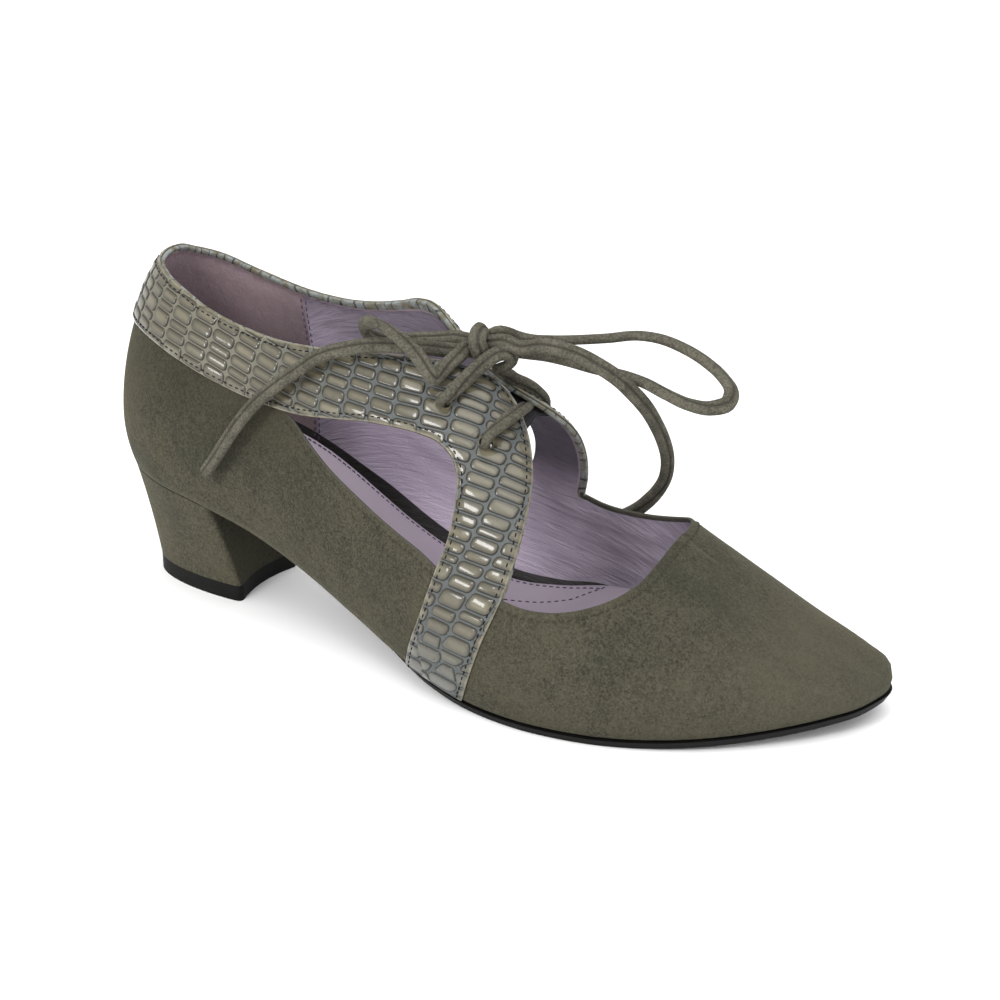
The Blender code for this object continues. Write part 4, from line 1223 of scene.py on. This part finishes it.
def smooth_leather_finish(name, colour):
    """Smooth footbed leather with fine pores."""
    leather = Finish(name)
    where = leather.place()
    cloud = leather.noise(where, 60, 3)
    pores = leather.noise(where, 1400, 2)
    body = leather.blend(cloud * 0.7 + pores * 0.3, shade(colour, 0.85), shade(colour, 1.13))
    shaded = leather.ease(leather.mark("station"), *FOOTBED_SHADE_STATIONS)
    body = leather.blend(shaded * 0.6, body, shade(colour, 0.5))
    return leather.surface(base_color=body, roughness=0.5 + cloud * 0.1,
                           normal=leather.bump(pores, 0.0002, 0.35), specular_ior_level=0.4)


def rubber_finish(name, colour):
    """Black sole with faint scuffs."""
    rubber = Finish(name)
    where = rubber.place()
    scuff = rubber.noise(rubber.place((0.4, 1, 2.5)), 240, 4, 0.65)
    grit = rubber.noise(where, 1600, 2)
    body = rubber.blend(rubber.ease(scuff, 0.5, 0.8) * 0.7, shade(colour, 0.8), shade(colour, 2.4))
    return rubber.surface(base_color=body, roughness=0.5 + scuff * 0.25,
                          normal=rubber.bump(grit, 0.0002, 0.4), specular_ior_level=0.12)


def elastic_finish(colour):
    """Woven elastic with fine ribs."""
    elastic = Finish("black elastic")
    weave = elastic.noise(elastic.place((1, 0.25, 1)), 1500, 2)
    body = elastic.blend(weave, shade(colour, 0.6), shade(colour, 2.6))
    return elastic.surface(base_color=body, roughness=0.9, normal=elastic.bump(weave, 0.0003, 0.7))


def lace_finish(colour):
    """Suede lace, with painted shade darkening it along its fold."""
    lace = Finish("suede lace")
    fold = lace.mark("fold")
    where = lace.place()
    cloud = lace.noise(where, 160, 3)
    nap = lace.noise(where, 1500, 3, 0.7)
    tone = lace.ease(cloud * 0.35 + nap * 0.65, 0.36, 0.66)
    body = lace.blend(tone, shade(colour, 0.6), shade(colour, 1.55))
    # Painted shade along the lace's fold.
    body = lace.blend(lace.ease(fold + nap * 0.3, 0.15, 1.2) * 0.65, body, shade(colour, 0.35))
    return lace.surface(base_color=body, roughness=1.0, normal=lace.bump(nap, 0.0005, 0.8), sheen_weight=0.15,
                        sheen_roughness=0.5, sheen_tint=(*shade(colour, 3.5), 1), specular_ior_level=0.1)


def thread_finish(name, colour):
    """Twisted sewing thread."""
    thread = Finish(name)
    twist = thread.noise(thread.place(), 2600, 2)
    body = thread.blend(twist, shade(colour, 0.6), shade(colour, 1.6))
    return thread.surface(base_color=body, roughness=0.9, normal=thread.bump(twist, 0.0001, 0.5),
                          specular_ior_level=0.1)


def add_piece(name, points, faces, finishes, slot, replaces=(), kinds=None, marks=None, sharp=None):
    """A mesh piece from last millimetres that rides on the shoe."""
    mesh = bpy.data.meshes.new(name)
    mesh.from_pydata(centred(points).tolist(), [], [[int(i) for i in face] for face in faces])
    for finish in finishes:
        mesh.materials.append(finish)
    if kinds is not None:
        mesh.polygons.foreach_set("material_index", kinds.astype(np.int32))
    mesh.shade_smooth()
    if sharp is not None:
        mesh.set_sharp_from_angle(angle=math.radians(sharp))
    for mark, values in (marks or {}).items():
        layer = mesh.attributes.new(mark, "FLOAT", "POINT")
        layer.data.foreach_set("value", np.asarray(values, np.float32))
    obj = bpy.data.objects.new(name, mesh)
    bpy.context.scene.collection.objects.link(obj)
    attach(obj, "root")
    if replaces:
        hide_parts(*replaces)
    return obj


def tube_faces(rings, sides, start=0):
    """Faces of a tube through rings of points, with a cap at each end."""
    faces = []
    for ring in range(rings - 1):
        for i in range(sides):
            a, b = start + ring * sides + i, start + ring * sides + (i + 1) % sides
            faces.append((a, b, b + sides, a + sides))
    faces.append(tuple(range(start + sides - 1, start - 1, -1)))
    end = start + (rings - 1) * sides
    faces.append(tuple(range(end, end + sides)))
    return faces


def stitch_run(line, normals, length, pitch, radius):
    """Separate stitches along a line, each dipping into the leather at both ends."""
    along = run_along(line)
    count = max(1, int(along[-1] / pitch))
    middles = (np.arange(count) + 0.5) * along[-1] / count
    shift, lift, girth = np.array(STITCH_PROFILE).T
    at = middles[:, None] + length * shift
    centre = np.stack([np.interp(at, along, column) for column in line.T], axis=-1)
    normal = unit(np.stack([np.interp(at, along, column) for column in normals.T], axis=-1))
    centre += normal * (radius * lift)[None, :, None]
    tangent = unit(centre[:, -1:] - centre[:, :1])
    aside = np.cross(tangent, normal)
    turns = np.arange(STITCH_SIDES) * 2 * math.pi / STITCH_SIDES
    cosine, sine = np.cos(turns)[:, None], np.sin(turns)[:, None]
    spoke = normal[:, :, None] * cosine + aside[:, :, None] * sine
    points = centre[:, :, None] + spoke * (radius * girth)[None, :, None, None]
    rings = len(STITCH_PROFILE)
    faces = []
    for stitch in range(count):
        faces += tube_faces(rings, STITCH_SIDES, stitch * rings * STITCH_SIDES)
    return points.reshape(-1, 3), faces


def gathered(parts):
    """Several sets of points and faces as one."""
    points, faces = [], []
    start = 0
    for some_points, some_faces in parts:
        points.append(some_points)
        faces += [tuple(i + start for i in face) for face in some_faces]
        start += len(some_points)
    return np.vstack(points), faces


def pattern_stitches(side, chain, inset, height, length, pitch):
    """Stitches beside a pattern edge, on its left."""
    moved = beside(chain, inset)
    moved[:, 0] = np.clip(moved[:, 0], 0, TOE_STATION)
    outward = outward_normals(side, moved)
    facing = outward if np.min(height) >= 0 else -outward
    line = on_last(side, moved) + outward * np.reshape(height, (-1, 1))
    return stitch_run(line, facing, length, pitch, STITCH_RADIUS)


def slab(top, bottom):
    """A closed solid between two grids of points."""
    rows, columns = top.shape[:2]
    count = rows * columns
    index = np.arange(count).reshape(rows, columns)
    quads = np.stack([index[:-1, :-1], index[1:, :-1], index[1:, 1:], index[:-1, 1:]], axis=-1).reshape(-1, 4)
    faces = [tuple(quad) for quad in quads] + [tuple(quad[::-1] + count) for quad in quads]
    border = np.concatenate([index[0, :-1], index[:-1, -1], index[-1, :0:-1], index[:0:-1, 0]])
    for a, b in zip(border, np.roll(border, -1)):
        faces.append((a, b, b + count, a + count))
    return np.vstack([top.reshape(-1, 3), bottom.reshape(-1, 3)]), faces


def ruled(stations, shares, grow):
    """A grid ruled between the two sole edges."""
    outer = edge_line(LATERAL, stations, grow, 0)
    inner = edge_line(MEDIAL, stations, grow, 0)
    return outer[:, None, :] * (1 - shares)[None, :, None] + inner[:, None, :] * shares[None, :, None]


def crowded(count):
    """Shares from 0 to 1 that crowd towards both ends."""
    return (1 - np.cos(np.linspace(0, math.pi, count))) / 2


def footbed_top(stations, shares):
    """Points of the footbed's upper face at matching stations and shares."""
    stations, shares = np.asarray(stations, float), np.asarray(shares, float)
    grow = footbed_inset(stations)
    outer, inner = edge_line(LATERAL, stations, grow, 0), edge_line(MEDIAL, stations, grow, 0)
    points = outer * (1 - shares)[:, None] + inner * shares[:, None]
    points[:, 2] += footbed_rise(stations, shares)
    return points


def footbed_inset(stations):
    """How far the footbed's edge lies inside the sole edge."""
    narrowing = (INSOLE_NARROWS_STATION, INSOLE_END_STATION)
    return -np.interp(stations, narrowing, (INSOLE_INSET, INSOLE_TOE_INSET))


def footbed_rise(station, share):
    """Height of the footbed's upper face above the sole edge, turned up along its inner edge."""
    inner_rise = along_curve(INSOLE_INNER_RISE, station)
    flat = CONTACT_GAP + INSOLE_THICKNESS
    return flat + (inner_rise - flat) * share**3


def heel_ring(share, level):
    """Closed outline of the heel block, with its breast corners softened."""
    ring = []
    for side in SIDES:
        along = np.linspace(HEEL_BREAST_STATION, 0, HEEL_STEPS)
        if side == MEDIAL:
            along = along[-2::-1]
        seat = edge_line(side, along, np.zeros_like(along), CONTACT_GAP)
        turn = along / HEEL_BREAST_STATION * math.pi / 2
        tip = np.column_stack([
            HEEL_TIP_FRONT - HEEL_TIP_LENGTH * np.cos(turn),
            side * HEEL_TIP_HALF_WIDTH * np.sin(turn),
            np.full_like(turn, level),
        ])
        taper = share * (1 + HEEL_TAPER_BOW - HEEL_TAPER_BOW * share)
        plan = seat[:, :2] * (1 - taper) + tip[:, :2] * taper
        ring.append(np.column_stack([plan, seat[:, 2] * (1 - share) + tip[:, 2] * share]))
    ring = np.vstack(ring)
    part = np.linspace(0, 1, BREAST_POINTS + 2)[1:-1, None]
    breast = ring[-1] * (1 - part) + ring[0] * part
    hollow = BREAST_HOLLOW * (BREAST_HOLLOW_AT_SEAT + (1 - BREAST_HOLLOW_AT_SEAT) * share)
    breast[:, 0] -= (hollow * 4 * part * (1 - part))[:, 0]
    ring = np.vstack([ring, breast])
    for _ in range(HEEL_SOFTENING):
        ring = (np.roll(ring, 1, axis=0) + 2 * ring + np.roll(ring, -1, axis=0)) / 4
    return ring


def stacked(rings):
    """A closed solid through rings of equal length, capped at both ends by a fan."""
    count = len(rings[0])
    faces = []
    for level in range(len(rings) - 1):
        for i in range(count):
            a, b = level * count + i, level * count + (i + 1) % count
            faces.append((b, a, a + count, b + count))
    points = np.vstack([*rings, rings[0].mean(axis=0), rings[-1].mean(axis=0)])
    first, last = len(points) - 2, len(points) - 1
    start = (len(rings) - 1) * count
    for i in range(count):
        faces.append((i, (i + 1) % count, first))
        faces.append((start + (i + 1) % count, start + i, last))
    return points, faces


def lace_profile(width, thickness):
    """Cross-section of a round suede lace with a fold along its top. Rows are (aside, above, fold)."""
    half = width / 2
    top, low = np.array(LACE_TOP_SHARES) * half, np.array(LACE_LOW_SHARES) * half
    fold = np.exp(-((top / (FOLD_WIDTH * width)) ** 2))
    above, below = ((1 - np.abs(row / half) ** LACE_ROUNDNESS) ** (1 / LACE_ROUNDNESS) for row in (top, low))
    height = thickness / 2 * above - FOLD_DEPTH * thickness * fold
    depth = -thickness / 2 * below
    upper = np.column_stack([top, height, fold])
    lower = np.column_stack([low, depth, np.zeros_like(low)])
    return np.vstack([upper, lower])


def lace_tube(route, width, thickness, spacing=1.0, facing=TOWARDS_VIEWER):
    """A suede lace swept along its route, its broad side steered one way. Also gives the line and marks."""
    line = smooth(route, spacing)
    tangent = unit(np.gradient(line, axis=0))
    guide = np.array(facing)
    normal = guide - tangent[0] * (guide @ tangent[0])
    normals = []
    for ahead in tangent:
        wanted = guide - ahead * (guide @ ahead)
        normal = normal - ahead * (normal @ ahead)
        normal = unit(unit(normal) + LACE_STEER * wanted)
        normals.append(normal)
    normals = unit(np.array(normals))
    aside = np.cross(tangent, normals)
    profile = lace_profile(width, thickness)
    points = line[:, None] + aside[:, None] * profile[None, :, :1] + normals[:, None] * profile[None, :, 1:2]
    fold = np.tile(profile[:, 2], len(line))
    return points.reshape(-1, 3), tube_faces(len(line), len(profile)), line, fold


def size_property(name, description, default, smallest, largest):
    """A size that a user may change, given here in millimetres."""
    return bpy.props.FloatProperty(
        name=name, description=description, unit="LENGTH", precision=5,
        default=default * MM, min=smallest * MM, max=largest * MM)


def millimetres(size):
    """A size from the panel in the patterns' millimetres."""
    return size / MM


class PumpSizes(bpy.types.PropertyGroup):
    """Sizes of the dressed shoe."""

    wall: size_property("Upper thickness", "Suede and lining together", 1.8, 0.8, 3.0)
    band_lift: size_property("Band gap", "Gap under the band", 0.12, 0.02, 0.4)
    band_thickness: size_property("Band thickness", "Band leather between its scales", 0.75, 0.3, 1.5)
    relief: size_property("Scale relief", "How far a scale stands up", 0.36, 0.0, 1.0)
    stitch_length: size_property("Stitch length", "Length of one stitch", 1.4, 0.8, 4.0)
    stitch_pitch: size_property("Stitch pitch", "From one stitch to the next", 2.05, 1.2, 6.0)
    lace_width: size_property("Lace width", "Broad way across the lace", 4.4, 2.0, 8.0)
    lace_thickness: size_property("Lace thickness", "Narrow way through the lace", 2.8, 1.0, 6.0)


def colour_property(name, description, default):
    """A colour that a user may change."""
    return bpy.props.FloatVectorProperty(
        name=name, description=description, subtype="COLOR", size=3, min=0.0, max=1.0, default=default)


class PumpColours(bpy.types.PropertyGroup):
    """Colours of the dressed shoe."""

    suede: colour_property("Suede", "Upper and heel cover", (0.048, 0.0452, 0.0322))
    scale: colour_property("Scales", "Raised scales of the band", (0.086, 0.077, 0.051))
    groove: colour_property("Grooves", "Between the scales of the band", (0.078, 0.085, 0.084))
    lining: colour_property("Lining", "Inside of the upper", (0.315, 0.27, 0.335))
    heel_grip: colour_property("Heel grip", "Napped lining at the back of the heel", (0.232, 0.174, 0.187))
    footbed: colour_property("Footbed", "Padded footbed", (0.44, 0.376, 0.446))
    strip: colour_property("Strip", "Dark strip above the footbed", (0.028, 0.0255, 0.0245))
    sole: colour_property("Sole", "Outsole and top lift", (0.005, 0.0048, 0.0045))
    elastic: colour_property("Elastic", "Gore between the straps", (0.012, 0.012, 0.013))
    band_thread: colour_property("Band thread", "Stitches round the band", (0.012, 0.012, 0.013))
    lining_thread: colour_property("Lining thread", "Stitches in the lining and footbed", (0.08, 0.06, 0.11))
    lace: colour_property("Lace", "Suede lace", (0.078, 0.073, 0.057))
    floor: colour_property("Floor", "Plain studio floor", (0.98, 0.98, 0.98))


class PUMP_OT_upper(bpy.types.Operator):
    """Suede upper with its lining and cut edges"""

    bl_idname = "lace_pump.upper"
    bl_label = "Upper"

    def execute(self, context):
        sizes, colours = context.scene.pump_sizes, context.scene.pump_colours
        skin = welded([upper_half(side, UPPER_SPACING, millimetres(sizes.wall)) for side in SIDES])
        points, faces, kinds, marks = leather_shell(skin, UPPER_RIM_BULGE)
        suede = suede_finish("olive suede", tuple(colours.suede))
        finishes = [suede, lining_finish(colours), cut_edge_finish(colours)]
        add_piece("suede_upper", points, faces, finishes, "olive_suede", ["upper"], kinds, marks)
        return {"FINISHED"}


class PUMP_OT_band(bpy.types.Operator):
    """Embossed reptile band round the collar and down each side"""

    bl_idname = "lace_pump.band"
    bl_label = "Band"

    def execute(self, context):
        sizes, colours = context.scene.pump_sizes, context.scene.pump_colours
        finish = reptile_finish(colours)
        heights = [millimetres(size) for size in (sizes.band_lift, sizes.band_thickness, sizes.relief)]
        halves = [band_half(side, *heights) for side in SIDES]
        points, faces, _, marks = leather_shell(welded(halves), BAND_RIM_BULGE)
        add_piece("reptile_band", points, faces, [finish], "reptile_leather", ["band"], None, marks)
        return {"FINISHED"}


class PUMP_OT_stitches(bpy.types.Operator):
    """Stitches round the band, along the suede edges and on the lining seam"""

    bl_idname = "lace_pump.stitches"
    bl_label = "Stitches"

    def execute(self, context):
        sizes, colours = context.scene.pump_sizes, context.scene.pump_colours
        length, pitch = millimetres(sizes.stitch_length), millimetres(sizes.stitch_pitch)
        band_top = millimetres(sizes.band_lift) + millimetres(sizes.band_thickness)
        band, suede, seam = [], [], []
        for side in SIDES:
            heel, window, rear, _, front, collar, _ = band_edges(side, STITCH_LINE_SPACING)
            for chain in (heel, window, rear, front, collar):
                band.append(pattern_stitches(side, chain, STITCH_INSET, band_top, length, pitch))
            low_edge = smooth(WINDOW_BOTTOM[side], STITCH_LINE_SPACING)
            suede.append(pattern_stitches(side, low_edge, SUEDE_STITCH_INSET, 0, length, pitch))
            throat = throat_edge(side, STITCH_LINE_SPACING)
            suede.append(pattern_stitches(side, throat, -SUEDE_STITCH_INSET, 0, length, pitch))
            for offset in (-GRIP_ROW_OFFSET, GRIP_ROW_OFFSET):
                ends = [(GRIP_SEAM + offset, up) for up in GRIP_ROW_ENDS]
                grip = straight(*ends, GRIP_ROW_SPACING)
                depth = wall_at(side, grip, millimetres(sizes.wall))
                seam.append(pattern_stitches(side, grip, 0, -depth, length, pitch))
        black = thread_finish("black thread", tuple(colours.band_thread))
        olive = thread_finish("olive thread", shade(tuple(colours.suede), 0.8))
        plum = thread_finish("plum thread", tuple(colours.lining_thread))
        add_piece("band_stitches", *gathered(band), [black], "reptile_leather")
        add_piece("suede_stitches", *gathered(suede), [olive], "olive_suede")
        add_piece("lining_stitches", *gathered(seam), [plum], "lavender_leather")
        return {"FINISHED"}


class PUMP_OT_footbed(bpy.types.Operator):
    """Padded footbed with its rows of stitches"""

    bl_idname = "lace_pump.footbed"
    bl_label = "Footbed"

    def execute(self, context):
        sizes, colours = context.scene.pump_sizes, context.scene.pump_colours
        even_stations = np.linspace(FOOTBED_EVEN_STATION, INSOLE_END_STATION, FOOTBED_ROWS)
        stations = np.concatenate([FOOTBED_HEEL_STATIONS, even_stations])
        shares = crowded(FOOTBED_COLUMNS)
        top = ruled(stations, shares, footbed_inset(stations))
        bottom = ruled(stations, shares, np.full(len(stations), -FOOTBED_SEAT_INSET))
        width = np.linalg.norm(top[:, -1] - top[:, 0], axis=1)[:, None]
        from_edge = np.minimum(shares, 1 - shares)[None, :] * width
        rolled = FOOTBED_EDGE_DROP * (1 - ease(from_edge, 0, FOOTBED_EDGE_ROUND))
        top[:, :, 2] += footbed_rise(stations[:, None], shares[None, :]) - rolled
        bottom[:, :, 2] += CONTACT_GAP
        points, faces = slab(top, bottom)
        level = 2 * (len(stations) - 1) * (len(shares) - 1)
        kinds = np.repeat([0, 1], [level, len(faces) - level])
        marks = {"station": np.tile(np.repeat(stations, len(shares)), 2)}
        finishes = [smooth_leather_finish("lavender footbed", tuple(colours.footbed)),
                    smooth_leather_finish("dark footbed side", tuple(colours.strip))]
        footbed = add_piece("footbed", points, faces, finishes, "lavender_leather", ["insole"], kinds, marks,
                            sharp=FOOTBED_SHARP)
        upright = np.array([(0.0, 0.0, 1.0)])
        length, pitch = millimetres(sizes.stitch_length), millimetres(sizes.stitch_pitch)
        rows = []
        for line_stations, line_shares in FOOTBED_STITCH_LINES:
            at = np.linspace(0, 1, FOOTBED_STITCH_POINTS)
            knots = np.linspace(0, 1, len(line_stations))
            line = footbed_top(np.interp(at, knots, line_stations), np.interp(at, knots, line_shares))
            normals = np.repeat(upright, FOOTBED_STITCH_POINTS, axis=0)
            rows.append(stitch_run(line, normals, length, pitch, STITCH_RADIUS))
        plum = thread_finish("footbed thread", tuple(colours.lining_thread))
        add_piece("footbed_stitches", *gathered(rows), [plum], "lavender_leather")
        return {"FINISHED"}


class PUMP_OT_heel(bpy.types.Operator):
    """Suede covered block heel and its black top lift"""

    bl_idname = "lace_pump.heel"
    bl_label = "Heel"

    def execute(self, context):
        colours = context.scene.pump_colours
        floor_level = LIFT_HEIGHT + CONTACT_GAP
        rings = [heel_ring(share, floor_level) for share in np.linspace(0, 1, HEEL_LEVELS)]
        points, faces = stacked(rings)
        # The breast faces get a mark that paints shade on them in the suede finish.
        on_breast = np.arange(len(rings[0])) >= len(rings[0]) - BREAST_POINTS
        breast = np.append(np.tile(on_breast, len(rings)), [0, 0]).astype(float)
        # A lighter copy of the suede: painted light on the heel from the floor below.
        cover = suede_finish("heel suede", shade(colours.suede, 1.1))
        add_piece("heel_cover", points, faces, [cover], "olive_suede", ["heel"], marks={"breast": breast},
                  sharp=HEEL_SHARP)
        levels = (floor_level - LIFT_CLEARANCE, LIFT_HEIGHT - LIFT_BEVEL, LIFT_FOOT, 0)
        points, faces = stacked([heel_ring(1, level) for level in levels])
        rubber = rubber_finish("black top lift", tuple(colours.sole))
        add_piece("black_top_lift", points, faces, [rubber], "black_sole", ["top_lift"], sharp=HEEL_SHARP)
        return {"FINISHED"}


class PUMP_OT_sole(bpy.types.Operator):
    """Thin black outsole"""

    bl_idname = "lace_pump.sole"
    bl_label = "Outsole"

    def execute(self, context):
        colours = context.scene.pump_colours
        stations = np.concatenate([
            np.linspace(HEEL_BREAST_STATION + SOLE_START_GAP, SOLE_TOE_STATION, SOLE_ROWS),
            np.linspace(SOLE_TOE_STATION + SOLE_TOE_STEP, TOE_STATION, SOLE_TOE_ROWS),
        ])
        shares = crowded(SOLE_COLUMNS)
        grow = np.interp(stations, (WAIST_END_STATION, SOLE_PROUD_STATION), (-SOLE_WAIST_INSET, SOLE_PROUD))
        thickness = np.interp(stations, (WAIST_END_STATION, SOLE_FULL_STATION),
                              (SOLE_WAIST_THICKNESS, SOLE_THICKNESS))
        top = ruled(stations, shares, grow)
        bottom = ruled(stations, shares, grow - SOLE_DRAWN_IN)
        top[:, :, 2] -= SOLE_GAP
        bottom[:, :, 2] -= (SOLE_GAP + thickness)[:, None]
        points, faces = slab(top, bottom)
        finish = rubber_finish("black outsole", tuple(colours.sole))
        add_piece("black_outsole", points, faces, [finish], "black_sole", ["outsole"], sharp=SOLE_SHARP)
        return {"FINISHED"}


class PUMP_OT_gore(bpy.types.Operator):
    """Ribbed black elastic under both straps"""

    bl_idname = "lace_pump.gore"
    bl_label = "Elastic gore"

    def execute(self, context):
        colours = context.scene.pump_colours
        columns = []
        for side in SIDES:
            line = np.linspace(*(np.array(corner, float) for corner in GORE[side]), GORE_ROWS)
            edges = (line, line + (0, GORE_TUCK))
            pair = [raised(side, edge, -depth) for edge, depth in zip(edges, GORE_DEPTHS[side])]
            columns += pair if side == LATERAL else pair[::-1]
        columns.insert(2, (columns[1] + columns[2]) / 2)
        lines = [smooth([column[row] for column in columns], GORE_LINE_SPACING) for row in range(GORE_ROWS)]
        picked = [np.linspace(0, len(line) - 1, GORE_COLUMNS).astype(int) for line in lines]
        across = np.stack([line[pick] for line, pick in zip(lines, picked)])
        normal = unit(np.cross(np.gradient(across, axis=1), np.gradient(across, axis=0)))
        normal *= np.sign(normal[:, :, 2:3])
        rib = GORE_RIB * np.cos(np.arange(GORE_ROWS) * math.pi)[:, None, None]
        top = across + normal * (GORE_THICKNESS / 2 + rib)
        bottom = across - normal * GORE_THICKNESS / 2
        points, faces = slab(top, bottom)
        finish = elastic_finish(tuple(colours.elastic))
        add_piece("ribbed_gore", points, faces, [finish], "black_elastic", ["elastic_gore"], sharp=GORE_SHARP)
        return {"FINISHED"}


class PUMP_OT_laces(bpy.types.Operator):
    """Suede lace: crossing strands, knot, loops and free ends"""

    bl_idname = "lace_pump.laces"
    bl_label = "Laces"

    def execute(self, context):
        sizes, colours = context.scene.pump_sizes, context.scene.pump_colours
        width, thickness = (millimetres(size) for size in (sizes.lace_width, sizes.lace_thickness))
        finish = lace_finish(tuple(colours.lace))
        points, faces, _, fold = lace_tube(KNOT_WRAP, KNOT_WRAP_WIDEN * width, thickness, KNOT_SPACING)
        knot = add_piece("bow_knot", points, faces, [finish], "suede_lace", ["lace_knot"],
                         marks={"fold": fold})
        (first, second), (far,) = LACE_HOLES[LATERAL], LACE_HOLES[MEDIAL]
        under = straight(second, first, UNDER_LACE_SPACING)
        run = raised(LATERAL, under, -INSIDE_LACE_DEPTH)
        out_first, out_second = (
            raised(LATERAL, [hole, hole], NEAR_HOLE_HEIGHTS) for hole in (first, second))
        *on_strap, strap_heights = zip(*LACE_ON_STRAP)
        on_strap = raised(MEDIAL, np.column_stack(on_strap), strap_heights)
        into_far = np.vstack([on_strap, raised(MEDIAL, [far, far], FAR_HOLE_HEIGHTS)])
        routes = {
            "lace_crossing": np.vstack([run, out_first, LACE_UPPER_CROSSING, into_far]),
            "lace_bar": np.vstack([run[1::-1], out_second, LACE_LOWER_BAR]),
        }
        for name, route in routes.items():
            points, faces, _, fold = lace_tube(route, width, thickness)
            add_piece("suede_" + name, points, faces, [finish], "suede_lace", [name], marks={"fold": fold})
        for name, route, far_end, facing in LACE_CORDS:
            before, after = KNOT_RUNS[name]
            points, faces, line, fold = lace_tube((*before, *route, *after), width, thickness, facing=facing)
            cord = add_piece("suede_" + name, points, faces, [finish], "suede_lace", [name],
                             marks={"fold": fold})
        return {"FINISHED"}


class PUMP_OT_stage(bpy.types.Operator):
    """Floor, soft lights and camera"""

    bl_idname = "lace_pump.stage"
    bl_label = "Stage"

    def execute(self, context):
        scene = context.scene
        corners = [(x * FLOOR_HALF, y * FLOOR_HALF, 0) for x, y in ((-1, -1), (1, -1), (1, 1), (-1, 1))]
        mesh = bpy.data.meshes.new("studio_floor")
        mesh.from_pydata(corners, [], [(0, 1, 2, 3)])
        paper = Finish("studio paper")
        tone = paper.noise(paper.place(), 30, 2)
        colour = tuple(scene.pump_colours.floor)
        paper.surface(base_color=paper.blend(tone, shade(colour, 0.99), shade(colour, 1.01)), roughness=0.9,
                      specular_ior_level=0.1)
        mesh.materials.append(paper.material)
        floor = bpy.data.objects.new("studio_floor", mesh)
        scene.collection.objects.link(floor)
        world = bpy.data.worlds.new("studio")
        world.use_nodes = True
        sky = world.node_tree.nodes["Background"]
        sky.inputs["Color"].default_value = (1, 1, 1, 1)
        sky.inputs["Strength"].default_value = WORLD_STRENGTH
        scene.world = world
        for name, place, target, width, height, power in LIGHTS:
            light = bpy.data.lights.new(name, "AREA")
            light.shape = "RECTANGLE"
            light.size = width
            light.size_y = height
            light.energy = power
            lamp = bpy.data.objects.new(name, light)
            lamp.location = place
            lamp.rotation_euler = (Vector(target) - Vector(place)).to_track_quat("-Z", "Y").to_euler()
            scene.collection.objects.link(lamp)
        lens = bpy.data.cameras.new("camera")
        lens.lens = CAMERA_LENS
        lens.sensor_width = SENSOR_WIDTH
        lens.clip_start = CLIP_START
        camera = bpy.data.objects.new("camera", lens)
        camera.location = CAMERA_PLACE
        camera.rotation_euler = (math.radians(CAMERA_TILT), 0, math.radians(CAMERA_TURN))
        scene.collection.objects.link(camera)
        scene.camera = camera
        scene.view_settings.view_transform = "Standard"
        return {"FINISHED"}


class PUMP_PT_panel(bpy.types.Panel):
    """Lists the pieces of the shoe and its sizes and colours"""

    bl_idname = "PUMP_PT_panel"
    bl_label = "Lace Pump"
    bl_space_type = "VIEW_3D"
    bl_region_type = "UI"
    bl_category = "Lace Pump"

    def draw(self, context):
        layout = self.layout
        for group in (context.scene.pump_sizes, context.scene.pump_colours):
            for name in group.bl_rna.properties.keys():
                if name not in ("rna_type", "name"):
                    layout.prop(group, name)
        for operator in OPERATORS:
            layout.operator(operator.bl_idname)


OPERATORS = (
    PUMP_OT_stage,
    PUMP_OT_laces,
    PUMP_OT_upper,
    PUMP_OT_band,
    PUMP_OT_stitches,
    PUMP_OT_footbed,
    PUMP_OT_heel,
    PUMP_OT_sole,
    PUMP_OT_gore,
)
CLASSES = (PumpSizes, PumpColours, *OPERATORS, PUMP_PT_panel)


def register():
    """Adds the classes and the sizes and colours of a scene."""
    for one in CLASSES:
        bpy.utils.register_class(one)
    bpy.types.Scene.pump_sizes = bpy.props.PointerProperty(type=PumpSizes)
    bpy.types.Scene.pump_colours = bpy.props.PointerProperty(type=PumpColours)


def unregister():
    """Takes them away again."""
    del bpy.types.Scene.pump_colours
    del bpy.types.Scene.pump_sizes
    for one in reversed(CLASSES):
        bpy.utils.unregister_class(one)


def main():
    """Dresses the shoe."""
    register()
    bpy.ops.lace_pump.stage()
    bpy.ops.lace_pump.laces()
    bpy.ops.lace_pump.upper()
    bpy.ops.lace_pump.band()
    bpy.ops.lace_pump.stitches()
    bpy.ops.lace_pump.footbed()
    bpy.ops.lace_pump.heel()
    bpy.ops.lace_pump.sole()
    bpy.ops.lace_pump.gore()


if __name__ == "__main__":
    main()
